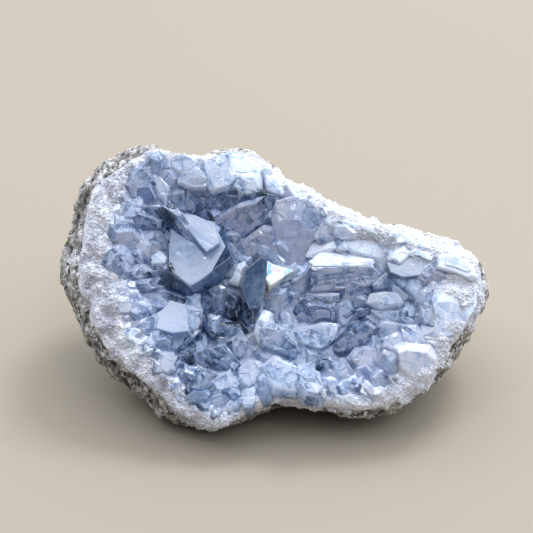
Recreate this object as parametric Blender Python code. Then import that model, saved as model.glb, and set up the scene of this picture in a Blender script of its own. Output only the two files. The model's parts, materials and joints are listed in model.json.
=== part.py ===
# Celestite cluster: one broken piece of a geode, rock behind and blue crystals in its hollow.
#
# The piece is drawn in a plane that leans back, the face plane: u runs right, v runs up the face
# and w stands out of it. place() turns those three into x, y and z. Sizes are in metres, z is up,
# and the rock rests on z = 0. Lists below are in millimetres, which MM turns into metres.

import math

import bmesh
import bpy
import numpy as np
from mathutils import Matrix, Vector
from mathutils.bvhtree import BVHTree

MM = 0.001

# How the face plane stands
LEAN = math.radians(30.0)  # rise of the face plane's normal above the horizontal
FACE_LIFT = 27.9 * MM  # height of the face plane's centre
FACE_TILT = 0.30  # the rim at the foot stands further out than the rim at the top
CENTRE_X = -0.35 * MM  # moves the whole piece so that its box is centred on the origin
CENTRE_Y = -8.15 * MM

# Broken outline of the piece, in the face plane, anticlockwise from the right end (u, v)
OUTLINE_MM = [
    (49.5, -1.5), (48.5, 2.5), (45.5, 6.5), (39.5, 10), (31.5, 13), (24, 15), (18, 17.5),
    (10, 22), (3, 26), (-3.5, 30), (-10.5, 32.5), (-18, 32), (-25, 32.5), (-31.5, 34.5),
    (-37.5, 31.5), (-43, 26), (-46.5, 19.5), (-48, 10.5), (-48, 2.5), (-46.5, -4.5),
    (-43, -12.5), (-37.5, -19.5), (-29.5, -25.5), (-23, -31.5), (-15, -34.5), (-7.5, -31.5),
    (2, -28.5), (12, -29), (21.5, -30), (28.5, -28.5), (35.5, -23.5), (43, -16), (48, -7.5),
]

# Section through the rock from the middle of the face to the middle of the back:
# share of the outline's radius, and depth. The face is a dish inside a raised rim.
SECTION_MM = [
    (0.00, -6.0), (0.22, -5.6), (0.42, -3.6), (0.60, -0.4), (0.72, 2.0), (0.82, 3.2),
    (0.90, 2.6), (0.955, -0.4), (0.99, -4.5), (1.00, -9.0), (0.985, -13.5), (0.94, -18.5),
    (0.86, -23.0), (0.72, -27.0), (0.52, -30.0), (0.28, -31.6), (0.00, -32.0),
]
RINGS_PER_SPAN = [1, 1, 1, 1, 1, 2, 2, 2, 1, 2, 1, 2, 1, 1, 1, 1]
SPOKES = 56  # points around each ring

# Broad swells of the dish: (u, v, radius, height)
SWELLS_MM = [
    (-6.0, -2.0, 9.0, -3.0), (-2.0, 14.0, 9.0, -2.2), (-26.0, -12.0, 7.0, 1.2),
    (16.0, 2.0, 8.0, 1.0), (-33.0, 6.0, 8.0, 1.2), (33.0, 0.0, 7.0, 0.8),
]
# Lumps and pits of the rock: (size across, height, seed)
LUMPS_MM = [(17.0, 3.2, 3), (8.0, 2.0, 5), (4.5, 1.0, 8)]
CALM_DISH = [(0.5, 0.12), (0.8, 0.35), (0.9, 1.0)]  # by share of radius, share of the lumps kept

GAP = 0.3 * MM  # least distance between the rock and the crust that lines it
CRUST_BACK = 0.4 * MM  # distance of the crust's back from the rock
CRUST_RHO = 0.87  # the crust ends at this share of the outline's radius
CRUST_THICKNESS_MM = [(0.0, 4.6), (0.3, 3.8), (0.5, 1.9), (CRUST_RHO, 1.3)]  # by that share
ROOTED = 0.7  # how far up the crust's thickness the crystals' roots end
LEAST_ROOT = 1.0 * MM  # shortest length of a crystal's walls
FLAT_ENOUGH = math.radians(2.0)  # neighbours closer to level than this are joined in one face

# Celestite's cell edges, which fix the angles between its faces (only their ratio matters)
CELL_A, CELL_B, CELL_C = 8.36, 5.35, 6.87

# The large crystals: height of the top face's middle above the leaning face, how far the top
# face leans (degrees right, degrees up), and its corners (u, v).
LARGE_CRYSTALS_MM = [
    # table
    (4.8, -10, 24, [(-23.5, 13), (-23.5, 3), (-18.5, -0.5), (-16, 1), (-9.5, 6), (-11.5, 9.5),
     (-13.5, 13.5), (-21.5, 16)]),
    # plate
    (6.6, 4, 30, [(-15, 7), (-12, 9), (-12.5, 10.5), (-13.5, 13.5), (-18, 15.5), (-22, 15.5)]),
    # hexagon
    (5.0, -14, 32, [(-26, -9.5), (-22, -10.5), (-18.5, -10), (-19, -4.5), (-23, -3.5),
     (-24.5, -5.5), (-27, -7)]),
    # hexagon side
    (4.4, 30, 14, [(-18.5, -10), (-16.5, -10), (-15.5, -7), (-15.5, -5), (-19, -4.5)]),
    # hexagon foot
    (3.6, 12, -10, [(-23, -16), (-21.5, -16.5), (-16, -10.5), (-17, -10), (-22, -14.5)]),
    # spire
    (4.8, 8, -10, [(-6.5, 3), (-7.5, -0.5), (-5.5, -6), (-3, -5.5), (-2, -1.5), (-1.5, 5.5),
     (-3, 6)]),
    # frost chip
    (2.8, 14, 14, [(-10, 0.5), (-7.5, -0.5), (-5.5, 3), (-6.5, 5), (-8, 4.5)]),
    # rainbow
    (4.0, 6, 34, [(-2, 1), (-1, -0.5), (2, 1.5), (4.5, 3), (-0.5, 4.5), (-2, 5.5)]),
    # pit back
    (-1.8, -10, -4, [(-14, -8.5), (-7.5, -8.5), (-5.5, -7.5), (-7.5, -3), (-10.5, -1.5),
     (-13, -4.5)]),
    # pit side
    (-0.4, 28, -8, [(-7.5, -8.5), (-5.5, -11), (-4.5, -8.5), (-5, -6), (-7.5, -3)]),
    # pit floor
    (-0.2, 4, 4, [(-11.5, -13.5), (-8, -13.5), (-5.5, -11.5), (-7, -8.5), (-12, -8.5), (-14, -12)]),
    # lilac floor
    (1.6, 2, 16, [(-9.5, -15), (-7.5, -16), (-5, -13), (-7.5, -10), (-10.5, -12.5)]),
    # grey floor
    (1.0, -10, 8, [(-14.5, -15.5), (-11, -17), (-8, -17), (-9, -15), (-11, -13), (-13.5, -12.5),
     (-16.5, -14)]),
    # dark prism
    (2.4, -4, -12, [(-20.5, -18.5), (-17.5, -17.5), (-17.5, -15), (-20.5, -15), (-21.5, -16.5)]),
    # dark bar
    (3.2, 4, -20, [(-16.5, -17), (-12, -19), (-10.5, -17.5), (-15.5, -15), (-17.5, -15)]),
    # bar foot
    (2.6, -14, 20, [(-17.5, -20), (-15, -21), (-12.5, -19), (-16.5, -17.5), (-17.5, -16.5)]),
    # pale floor
    (4.2, -6, 24, [(5.5, -12.5), (7.5, -13.5), (10, -14), (13, -11.5), (14, -8.5), (10.5, -8),
     (5.5, -9.5), (3, -10)]),
    # purple back
    (3.2, -4, -12, [(5.5, -9.5), (10.5, -8), (14, -8.5), (14.5, -6), (13.5, -4), (8.5, -3),
     (5.5, -3.5), (3.5, -7.5)]),
    # shelf front
    (4.6, 2, 0, [(7.5, -2), (15, -1.5), (22, -0.5), (24.5, 2.5), (22, 5), (7.5, 4)]),
    # shelf top
    (4.2, 0, 52, [(8.5, 4), (17, 4), (22, 4.5), (22, 5.5), (17, 7), (10, 7), (7.5, 5)]),
    # shelf end
    (3.8, 34, -20, [(22, -1.5), (25, -1.5), (25.5, 0.5), (25, 2.5), (22, -0.5)]),
    # purple cleft
    (3.0, 10, -14, [(14, -4.5), (16.5, -5.5), (19, -4), (21.5, -2), (21.5, -0.5), (17, 0.5),
     (15, -1.5)]),
    # grey back
    (2.6, -16, -10, [(-1, -3.5), (1, -4), (5, -3.5), (7.5, -1.5), (7.5, 3.5), (5, 1.5), (1.5, 0),
     (-1.5, -2)]),
    # speckled
    (3.4, -12, 6, [(5.5, -4), (9, -3.5), (13.5, -4.5), (14, -2), (8, -1.5), (5.5, -1)]),
    # blue bench
    (4.4, 6, 20, [(23, -5.5), (27.5, -5), (28.5, -4), (27.5, -2), (24, -1.5), (21, -2), (20, -4)]),
    # blue rib
    (3.6, -12, -2, [(25, -1.5), (29, -4.5), (30.5, -3.5), (25.5, 0.5), (25, 1.5)]),
    # ice window
    (3.4, -6, 24, [(27.5, -1), (31, -3.5), (33, -1), (32.5, 1), (28.5, 1.5), (26, 1.5)]),
    # ice cluster
    (3.4, 4, 12, [(22, -7), (24.5, -8.5), (28, -8), (27.5, -5.5), (21, -5.5)]),
    # blue knob
    (3.8, 10, 6, [(27.5, -8), (29, -9), (31, -8.5), (31.5, -6), (30, -4.5), (28, -5.5)]),
    # blue wall
    (3.0, -4, 4, [(22.5, -10.5), (23.5, -13), (26.5, -14), (27.5, -12), (27, -8.5), (23, -8)]),
    # ice wedge
    (3.6, 10, 22, [(27.5, -11.5), (29.5, -14), (33, -13.5), (32.5, -11), (31, -8.5), (27.5, -8.5)]),
    # dark beam
    (4.0, 8, -12, [(14.5, -16), (21.5, -12.5), (23, -9.5), (20.5, -8), (16.5, -10), (12.5, -13.5)]),
    # brown cleft
    (2.4, 4, -10, [(16, -7.5), (17.5, -9), (21, -8), (22, -6), (21, -5), (16, -6)]),
    # dark wedge
    (3.4, 14, -10, [(9, -21), (11.5, -20.5), (11.5, -16.5), (10, -16.5), (8, -19.5)]),
    # lower bench
    (3.6, 2, 6, [(-3, -13.5), (0, -15), (4.5, -16.5), (6, -14.5), (6, -12.5), (3, -9),
     (-1.5, -8.5), (-3.5, -10)]),
    # lower beam
    (3.4, 8, -6, [(6.5, -17), (8, -19), (10, -16.5), (13, -15.5), (12.5, -13.5), (10, -14.5),
     (7, -14)]),
    # frost rib
    (4.0, -26, 12, [(-4.5, -8), (-5, -11.5), (-3.5, -13.5), (-3, -11.5), (-1.5, -9), (-1.5, -6),
     (-3, -5.5)]),
    # pale bench
    (3.8, 2, 26, [(-0.5, -23), (4.5, -23.5), (7.5, -21.5), (6.5, -17.5), (3.5, -16.5), (0, -15),
     (-3, -17.5)]),
    # pale ramp
    (3.0, -4, 24, [(-8, -20.5), (-6, -22.5), (-3, -20.5), (-1, -20), (-3, -16.5), (-5.5, -16),
     (-8, -18)]),
    # pale knob
    (2.8, -6, 22, [(-13.5, -23.5), (-10, -24), (-7.5, -21.5), (-9, -18.5), (-12, -19), (-15, -21)]),
    # pale edge
    (3.2, 4, 16, [(12.5, -20), (15, -21.5), (17.5, -19.5), (16, -16), (12, -17)]),
    # lilac lump
    (3.0, 6, 12, [(17.5, -19), (21.5, -19), (23, -15.5), (21.5, -13), (17.5, -13.5), (15.5, -16)]),
    # lilac knob
    (3.2, 10, 18, [(22.5, -16), (26, -17), (27.5, -14.5), (25.5, -12), (22, -13)]),
    # ledge left
    (4.4, -8, 22, [(-24, 25.5), (-21.5, 24), (-18, 24.5), (-17.5, 26.5), (-19, 29), (-22.5, 29.5),
     (-25, 28)]),
    # ledge low
    (3.8, -4, 12, [(-22, 22.5), (-19.5, 21), (-15.5, 21), (-15, 24), (-17.5, 26.5), (-21.5, 25.5)]),
    # ledge middle
    (4.6, 0, 34, [(-16, 24), (-14, 20.5), (-10.5, 21.5), (-7.5, 25), (-9, 28), (-12, 30),
     (-17.5, 28)]),
    # ledge right
    (4.6, 8, 28, [(-10, 22), (-6, 21), (-2.5, 21.5), (-2.5, 25), (-4, 28), (-10, 31), (-11.5, 30)]),
    # pale end
    (3.4, 12, 26, [(-1.5, 21), (2, 20), (3, 21.5), (1, 24), (-2, 24.5)]),
    # wall a
    (2.8, -8, -14, [(-23, 16.5), (-20, 16), (-20, 21.5), (-24, 21)]),
    # wall b
    (2.4, 2, -18, [(-20.5, 16.5), (-18, 15.5), (-15.5, 17), (-15.5, 21.5), (-17.5, 21),
     (-20.5, 21.5)]),
    # wall c
    (3.4, 4, -24, [(-15, 17), (-13, 14.5), (-4.5, 18), (-2.5, 21), (-10, 22), (-15.5, 21)]),
    # wall dark
    (2.2, -6, -20, [(-16, 14), (-13.5, 14), (-15.5, 17.5), (-19, 16)]),
    # wall d
    (2.6, -6, -20, [(-13, 12), (-11, 9.5), (-6, 10), (-2.5, 12.5), (-2.5, 19), (-8, 17.5),
     (-14, 14.5)]),
    # wall e
    (3.2, 10, -14, [(-2.5, 13.5), (-1, 13), (1.5, 18), (1, 20), (-3, 21)]),
    # wall f
    (3.8, 4, -8, [(-0.5, 14), (1, 13), (5, 12.5), (7, 13.5), (11.5, 15.5), (8, 19), (6, 20.5),
     (1, 19)]),
    # wall g
    (3.6, 16, -6, [(6.5, 10), (9.5, 8.5), (13.5, 10), (15, 11.5), (11, 15.5), (7, 13.5)]),
    # wall h
    (2.2, -4, -4, [(-7, 5.5), (-5.5, 4.5), (-1, 7), (2.5, 8.5), (1.5, 12.5), (-2.5, 13),
     (-6, 10.5), (-7.5, 9)]),
    # wall i
    (1.8, 8, -14, [(1.5, 4), (5.5, 2.5), (8, 5), (9, 9), (6, 12), (2.5, 10), (-1, 7.5)]),
    # blue strip
    (2.2, 18, 0, [(-9.5, 6), (-7.5, 4.5), (-6, 5), (-10.5, 10), (-12, 9.5)]),
    # left bands
    (3.4, -14, -10, [(-33, 12.5), (-29, 12), (-25.5, 12), (-25.5, 14), (-31, 16), (-34, 14.5)]),
    # left ice
    (3.4, -14, 14, [(-31.5, 7.5), (-28.5, 6), (-27.5, 9), (-29.5, 11.5), (-32.5, 11.5)]),
    # left blue
    (3.0, 4, -8, [(-26, 7), (-24, 7.5), (-24, 9.5), (-25.5, 12), (-28.5, 11.5)]),
    # left white
    (3.6, -10, 30, [(-27.5, 4.5), (-24.5, 4.5), (-24, 6), (-26.5, 8.5), (-28, 7)]),
    # left grey
    (2.8, -12, 0, [(-29.5, 1.5), (-25.5, 1.5), (-23, 3.5), (-24.5, 5), (-30, 4.5)]),
    # left dark
    (3.0, -16, -10, [(-36, 1.5), (-33.5, 0), (-31.5, 2.5), (-33, 5), (-36.5, 3.5)]),
    # left brown
    (2.4, -10, -8, [(-32, -2), (-29.5, -2.5), (-26, -1), (-27.5, 1), (-33.5, 0.5)]),
    # left base
    (2.4, -4, 0, [(-26, -5.5), (-23.5, -4), (-20, -4.5), (-19.5, -3), (-24, -1), (-27, -1.5)]),
    # left window
    (3.4, -10, -4, [(-31.5, 19), (-29, 17.5), (-26.5, 19), (-28, 22), (-32.5, 21.5)]),
    # left edge
    (3.8, -10, 16, [(-26.5, 19.5), (-24.5, 17.5), (-23.5, 21.5), (-26.5, 25), (-28, 24)]),
    # left shade
    (3.0, -10, -12, [(-30.5, 15), (-27.5, 14.5), (-24, 15.5), (-24.5, 17.5), (-30.5, 17.5)]),
    # right dark
    (3.6, 6, -16, [(33, 0.5), (35.5, -0.5), (39.5, 0.5), (38.5, 2), (34.5, 3.5), (32.5, 2)]),
    # right white
    (4.8, 4, 32, [(25.5, 2.5), (28, 1.5), (33, 2), (34.5, 5), (30.5, 6.5), (27.5, 4), (24.5, 5)]),
    # right ice a
    (3.8, 4, 26, [(14, 8), (17, 7), (21.5, 5.5), (24, 5), (26, 7.5), (25, 9.5), (17.5, 11.5),
     (14, 11)]),
    # right ice b
    (4.2, 8, 18, [(25, 5.5), (27.5, 4), (30, 6), (31, 7.5), (29, 9.5), (25.5, 7.5)]),
    # right knob
    (3.4, 14, 2, [(31, -4), (32.5, -5.5), (34.5, -3.5), (34.5, 0), (32, -1.5)]),
]

# Small crystals that fill the space between the large ones
SMALL_SEED = 41
SMALL_TRIES = 3000
SMALL_MOST = 60
SMALL_REACH = 0.93  # share of the crust's reach in which they stand
SMALL_SIZE_MM = (2.8, 5.2)  # across, at the rim and in the middle
SMALL_LEAN = 22.0  # degrees that a small crystal leans at most from the face it grows on
SMALL_STEEP = 28.0  # steepest lean of that face that they follow
SMALL_FLAT = (0.5, 0.45)  # share of the top left flat, along and across
SMALL_CORNER = 0.8  # how far out the corners are cut
SMALL_ROOT = 0.75  # share of its size that is sunk in the crust


def place(uvw):
    """Points of the face plane (u, v, w) as x, y, z."""
    u, v, w = uvw[..., 0], uvw[..., 1], uvw[..., 2]
    y = v * math.sin(LEAN) - w * math.cos(LEAN)
    z = v * math.cos(LEAN) + w * math.sin(LEAN)
    return np.stack([u + CENTRE_X, y + CENTRE_Y, z + FACE_LIFT], axis=-1)


FACE_TO_WORLD = Matrix((
    (1, 0, 0, CENTRE_X),
    (0, math.sin(LEAN), -math.cos(LEAN), CENTRE_Y),
    (0, math.cos(LEAN), math.sin(LEAN), FACE_LIFT),
    (0, 0, 0, 1),
))


def spline(points, closed, steps):
    """A smooth curve through the points, with steps[i] pieces after point i."""
    points = np.array(points, float)
    count = len(points)
    rows = []
    for i in range(count if closed else count - 1):
        if closed:
            p0, p1, p2, p3 = (points[(i + k) % count] for k in (-1, 0, 1, 2))
        else:
            p0, p1, p2, p3 = (points[min(max(i + k, 0), count - 1)] for k in (-1, 0, 1, 2))
        for t in np.arange(steps[i]) / steps[i]:
            rows.append(0.5 * (2 * p1 + (p2 - p0) * t + (2 * p0 - 5 * p1 + 4 * p2 - p3) * t ** 2
                               + (3 * p1 - p0 - 3 * p2 + p3) * t ** 3))
    if not closed:
        rows.append(points[-1])
    return np.array(rows)


def outline_radius(theta):
    """Distance from the centre to the outline in direction theta."""
    curve = spline(OUTLINE_MM, True, [6] * len(OUTLINE_MM)) * MM
    return np.interp(theta, np.arctan2(curve[:, 1], curve[:, 0]),
                     np.hypot(curve[:, 0], curve[:, 1]), period=2 * math.pi)


def lattice_noise(points, cell, seed):
    """Smooth noise from -1 to 1: random values on a grid of cells, blended between its corners."""
    table = np.random.default_rng(seed).uniform(-1, 1, 4096)
    q = points / cell
    low = np.floor(q).astype(np.int64)
    f = q - low
    f = f * f * (3 - 2 * f)
    total = np.zeros(points.shape[:-1])
    for corner in np.ndindex(2, 2, 2):
        i = low + corner
        key = (i[..., 0] * 73856093) ^ (i[..., 1] * 19349663) ^ (i[..., 2] * 83492791)
        share = np.prod(np.where(corner, f, 1 - f), axis=-1)
        total += share * table[key & 4095]
    return total


def swells(u, v):
    """Height that the broad swells of the dish add at u, v."""
    total = np.zeros(np.shape(u))
    for su, sv, radius, height in np.array(SWELLS_MM) * MM:
        total += height * np.exp(-((u - su) ** 2 + (v - sv) ** 2) / (2 * radius ** 2))
    return total


def grid_normals(grid):
    """Unit normals of a closed ring grid, pointing out of the rock."""
    along = np.gradient(grid, axis=0)
    around = np.roll(grid, -1, axis=1) - np.roll(grid, 1, axis=1)
    normal = np.cross(along, around)
    normal[0], normal[-1] = (0, 0, 1), (0, 0, -1)
    return normal / np.linalg.norm(normal, axis=-1, keepdims=True)


def rock_grid(swell):
    """The rock's surface as rings of points, moved out by swell: [ring, spoke, (u, v, w)]."""
    section = spline(SECTION_MM, False, RINGS_PER_SPAN) * [1, MM]
    theta = np.linspace(-math.pi, math.pi, SPOKES, endpoint=False)
    rho, depth = section[:, 0, None], section[:, 1, None]
    u = rho * outline_radius(theta) * np.cos(theta)
    v = rho * outline_radius(theta) * np.sin(theta)
    on_face = np.clip((depth + 8 * MM) / (8 * MM), 0, 1)
    on_face[: len(section) // 2] = 1
    w = depth - FACE_TILT * v + swells(u, v) * on_face
    grid = np.stack([u, v, w], axis=-1)
    height = sum(h * MM * lattice_noise(grid, size * MM, seed) for size, h, seed in LUMPS_MM) / 2
    row = np.arange(len(section))[:, None]
    calm = np.where(row < np.argmax(rho[:, 0]), np.interp(rho, *np.array(CALM_DISH).T), 1)
    grid = grid + grid_normals(grid) * (height * calm)[..., None]
    grid[0], grid[-1] = grid[0].mean(axis=0), grid[-1].mean(axis=0)
    return grid + grid_normals(grid) * swell


def skin_rings(bm, grid, flip):
    """Adds the surface through a grid whose first ring is one point; returns its last ring."""
    rows = place(grid)
    pole = bm.verts.new(rows[0, 0])
    rings = [[bm.verts.new(p) for p in row] for row in rows[1:]]
    for j in range(len(rings[0])):
        k = (j + 1) % len(rings[0])
        faces = [(pole, rings[0][j], rings[0][k])]
        for inner, outer in zip(rings, rings[1:]):
            faces += [(inner[j], outer[j], outer[k]), (inner[j], outer[k], inner[k])]
        for face in faces:
            bm.faces.new(face[::-1] if flip else face)
    return rings[-1]


def skin_solid(bm, front, back):
    """Adds the closed surface through two grids, the front one as fine as the back or half so."""
    front_ring, back_ring = skin_rings(bm, front, False), skin_rings(bm, back, True)
    per = len(back_ring) // len(front_ring)
    for j, vert in enumerate(front_ring):
        beyond = front_ring[(j + 1) % len(front_ring)]
        edge = [back_ring[(j * per + i) % len(back_ring)] for i in range(per + 1)]
        for one, two in zip(edge, edge[1:]):
            bm.faces.new((vert, one, two))
        bm.faces.new((vert, edge[-1], beyond))


def new_object(name, bm):
    """An object from a mesh under construction, its faces turned outwards."""
    bmesh.ops.recalc_face_normals(bm, faces=bm.faces)
    mesh = bpy.data.meshes.new(name)
    bm.to_mesh(mesh)
    bm.free()
    obj = bpy.data.objects.new(name, mesh)
    bpy.context.scene.collection.objects.link(obj)
    return obj


def material(name, colour, roughness):
    """A plain finish in the colour of the real surface."""
    made = bpy.data.materials.new(name)
    made.use_nodes = True
    shader = made.node_tree.nodes["Principled BSDF"]
    shader.inputs["Base Color"].default_value = (*colour, 1)
    shader.inputs["Roughness"].default_value = roughness
    shader.inputs["Metallic"].default_value = 0.0
    return made


def make_rock():
    """The grey rock, dished in front, domed behind and flat where it rests."""
    bm = bmesh.new()
    grid = rock_grid(0.0)
    skin_solid(bm, grid[: len(grid) // 2], grid[: len(grid) // 2 - 1 : -1])
    everything = list(bm.verts) + list(bm.edges) + list(bm.faces)
    cut = bmesh.ops.bisect_plane(bm, geom=everything, dist=1e-6, plane_co=(0, 0, 0),
                                 plane_no=(0, 0, -1), clear_outer=True)
    rim = [e for e in cut["geom_cut"] if isinstance(e, bmesh.types.BMEdge)]
    bmesh.ops.edgeloop_fill(bm, edges=rim)
    rock = new_object("matrix_rock", bm)
    rock.data.materials.append(material("limestone", (0.32, 0.30, 0.27), 0.9))
    return rock


def face_directions():
    """Outward normals of the celestite forms used here, with x along a, y along b, z along c."""
    a, b, c = 1 / CELL_A, 1 / CELL_B, 1 / CELL_C
    prism = [(2 * i * a, j * b, 0) for i in (-1, 1) for j in (-1, 1)]
    side_domes = [(0, j * b, c) for j in (-1, 1)]
    end_domes = [(i * a, 0, c) for i in (-1, 1)]
    return prism, side_domes, end_domes


def small_planes(size):
    """A small crystal as half spaces (point on the face, outward normal), its top at the origin."""
    prism, side_domes, end_domes = face_directions()
    half_l, half_w = 0.62 * size, 0.5 * size
    planes = [((0, 0, 0), (0, 0, 1)), ((0, 0, -(0.6 + SMALL_ROOT) * size), (0, 0, -1))]
    for n in prism:
        planes.append(((math.copysign(SMALL_CORNER * half_l, n[0]),
                        math.copysign(SMALL_CORNER * half_w, n[1]), 0), n))
    for n in side_domes:
        planes.append(((0, math.copysign(SMALL_FLAT[1] * half_w, n[1]), 0), n))
    for n in end_domes:
        planes.append(((math.copysign(SMALL_FLAT[0] * half_l, n[0]), 0, 0), n))
    return planes


def stand(u, v, w, lean_right, lean_up, turn):
    """Matrix that sets a crystal's top at (u, v, w) in the face plane, leaning and turned."""
    up = Vector((math.tan(math.radians(lean_right)), math.tan(math.radians(lean_up)), 1))
    lean = Vector((0, 0, 1)).rotation_difference(up.normalized()).to_matrix().to_4x4()
    spin = Matrix.Rotation(math.radians(turn), 4, "Z")
    return FACE_TO_WORLD @ Matrix.Translation((u, v, w)) @ lean @ spin


def add_small_crystal(collection, size, matrix, bed):
    """Adds one small crystal: a block cut by its faces one after another."""
    block = bmesh.new()
    bmesh.ops.create_cube(block, size=4 * size)
    for point, normal in small_planes(size):
        everything = list(block.verts) + list(block.edges) + list(block.faces)
        cut = bmesh.ops.bisect_plane(block, geom=everything, dist=1e-7, plane_co=point,
                                     plane_no=normal, clear_outer=True)
        rim = [e for e in cut["geom_cut"] if isinstance(e, bmesh.types.BMEdge)]
        bmesh.ops.edgeloop_fill(block, edges=rim)
    foot = min(v.co.z for v in block.verts)
    low = [v for v in block.verts if v.co.z < foot + 0.1 * size]
    bmesh.ops.transform(block, matrix=matrix, verts=block.verts)
    down = matrix.to_3x3() @ Vector((0, 0, -1))
    root_in(low, down, 0.6 * size, bed)
    solid_object(block, collection)


def add_large_crystal(collection, row, bed):
    """Adds one large crystal: its top face, and square walls that run down from it."""
    height, right, up, corners = row
    corners = np.array(corners) * MM
    middle = corners.mean(axis=0)
    slope = np.array([math.tan(math.radians(right)), math.tan(math.radians(up))])
    level = height * MM - FACE_TILT * middle[1]
    top = [(u, v, level - np.dot(slope, (u - middle[0], v - middle[1]))) for u, v in corners]
    down = FACE_TO_WORLD.to_3x3() @ Vector((-slope[0], -slope[1], -1)).normalized()
    block = bmesh.new()
    face = block.faces.new([block.verts.new(FACE_TO_WORLD @ Vector(p)) for p in top])
    grown = bmesh.ops.extrude_face_region(block, geom=[face], use_keep_orig=True)
    low = [v for v in grown["geom"] if isinstance(v, bmesh.types.BMVert)]
    root_in(low, down, 0.0, bed)
    solid_object(block, collection)


def root_in(verts, down, above, bed):
    """Moves a crystal's lowest corners along its length to where they meet the bed."""
    for vert in verts:
        start = vert.co - down * above
        hit = bed.ray_cast(start, down)[0] or bed.find_nearest(start + down * 3 * MM)[0]
        if (hit - start).dot(down) < LEAST_ROOT:
            hit = start + down * LEAST_ROOT
        vert.co = hit


def solid_object(block, collection):
    """Puts a closed solid in a collection as an object, its faces turned outwards."""
    bmesh.ops.recalc_face_normals(block, faces=block.faces)
    bmesh.ops.triangulate(block, faces=block.faces)
    mesh = bpy.data.meshes.new("crystal")
    block.to_mesh(mesh)
    block.free()
    collection.objects.link(bpy.data.objects.new("crystal", mesh))


def small_crystals(bed):
    """Sizes and places of the small crystals, smaller towards the rim, clear of the large ones."""
    rng = np.random.default_rng(SMALL_SEED)
    large = [np.array(row[3]) * MM for row in LARGE_CRYSTALS_MM]
    taken = np.array([(*c.mean(axis=0), 0.62 * np.ptp(c, axis=0).mean() / 2) for c in large])
    turned = FACE_TO_WORLD.to_3x3()
    made = []
    for _ in range(SMALL_TRIES):
        theta, share = rng.uniform(-math.pi, math.pi), math.sqrt(rng.uniform(0.02, 1.0))
        turn, right, up, grow, sink = rng.uniform(-1, 1, 5)
        reach = share * SMALL_REACH * CRUST_RHO * float(outline_radius(theta))
        u, v = reach * math.cos(theta), reach * math.sin(theta)
        size = np.interp(share, [0.3, 1.0], SMALL_SIZE_MM[::-1]) * (1 + 0.3 * grow) * MM
        if (np.hypot(taken[:, 0] - u, taken[:, 1] - v) < taken[:, 2] + 0.45 * size).any():
            continue
        foot, normal = bed.ray_cast(FACE_TO_WORLD @ Vector((u, v, 0.1)), turned @ Vector((0, 0, -1)))[:2]
        if foot is None:
            continue
        taken = np.vstack([taken, (u, v, 0.45 * size)])
        normal = turned.transposed() @ normal
        normal *= math.copysign(1, normal.z)
        lean_u = math.degrees(math.atan2(normal.x, normal.z))
        lean_v = math.degrees(math.atan2(normal.y, normal.z))
        right = min(max(lean_u, -SMALL_STEEP), SMALL_STEEP) + SMALL_LEAN * right
        up = min(max(lean_v, -SMALL_STEEP), SMALL_STEEP) + SMALL_LEAN * up
        rise = 1.0 * MM + (0.6 + 0.12 * sink) * size
        top = FACE_TO_WORLD.inverted() @ foot + normal * rise
        made.append((size, stand(*top, right, up, 90 * turn)))
        if len(made) == SMALL_MOST:
            break
    return made


def crust_grid(share):
    """Rings of the crust's surface at a share of its thickness, from its middle to its edge."""
    section = spline(SECTION_MM, False, RINGS_PER_SPAN)
    last = int(np.argmax(section[:, 0] > CRUST_RHO))
    thick = np.interp(section[:, 0], *np.array(CRUST_THICKNESS_MM).T) * MM
    bare = rock_grid(0.0)
    grid = bare + grid_normals(bare) * (CRUST_BACK + share * thick)[:, None, None]
    return grid[:last]


def make_bed():
    """The surface inside the crust on which the crystals' roots end, short of the crust's edge."""
    rings = place(crust_grid(ROOTED)[:-1])
    count = rings.shape[1]
    index = np.arange(rings.shape[0] * count).reshape(rings.shape[:2])
    beside = np.roll(index, -1, axis=1)
    quads = np.stack([index[:-1], index[1:], beside[1:], beside[:-1]], axis=-1)
    return BVHTree.FromPolygons(rings.reshape(-1, 3).tolist(), quads.reshape(-1, 4).tolist())


def largest_shell(obj):
    """Applies the object's Booleans and keeps only the largest closed shell of the result."""
    graph = bpy.context.evaluated_depsgraph_get()
    bm = bmesh.new()
    bm.from_mesh(obj.evaluated_get(graph).to_mesh())
    left, shells = set(bm.faces), []
    while left:
        shell, edge = [], [left.pop()]
        while edge:
            face = edge.pop()
            shell.append(face)
            for side in face.edges:
                if len(side.link_faces) != 2:
                    continue
                for other in side.link_faces:
                    if other in left:
                        left.discard(other)
                        edge.append(other)
        shells.append(shell)
    shells.sort(key=len, reverse=True)
    bmesh.ops.delete(bm, geom=[f for shell in shells[1:] for f in shell], context="FACES")
    bmesh.ops.dissolve_limit(bm, angle_limit=FLAT_ENOUGH, verts=bm.verts, edges=bm.edges)
    obj.modifiers.clear()
    bm.to_mesh(obj.data)
    bm.free()


def boolean(obj, name, operation, other):
    """Adds a Boolean modifier whose other side is an object or every object of a collection."""
    modifier = obj.modifiers.new(name, "BOOLEAN")
    modifier.operation = operation
    modifier.solver = "MANIFOLD"
    if isinstance(other, bpy.types.Collection):
        modifier.operand_type = "COLLECTION"
        modifier.collection = other
    else:
        modifier.object = other


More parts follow.
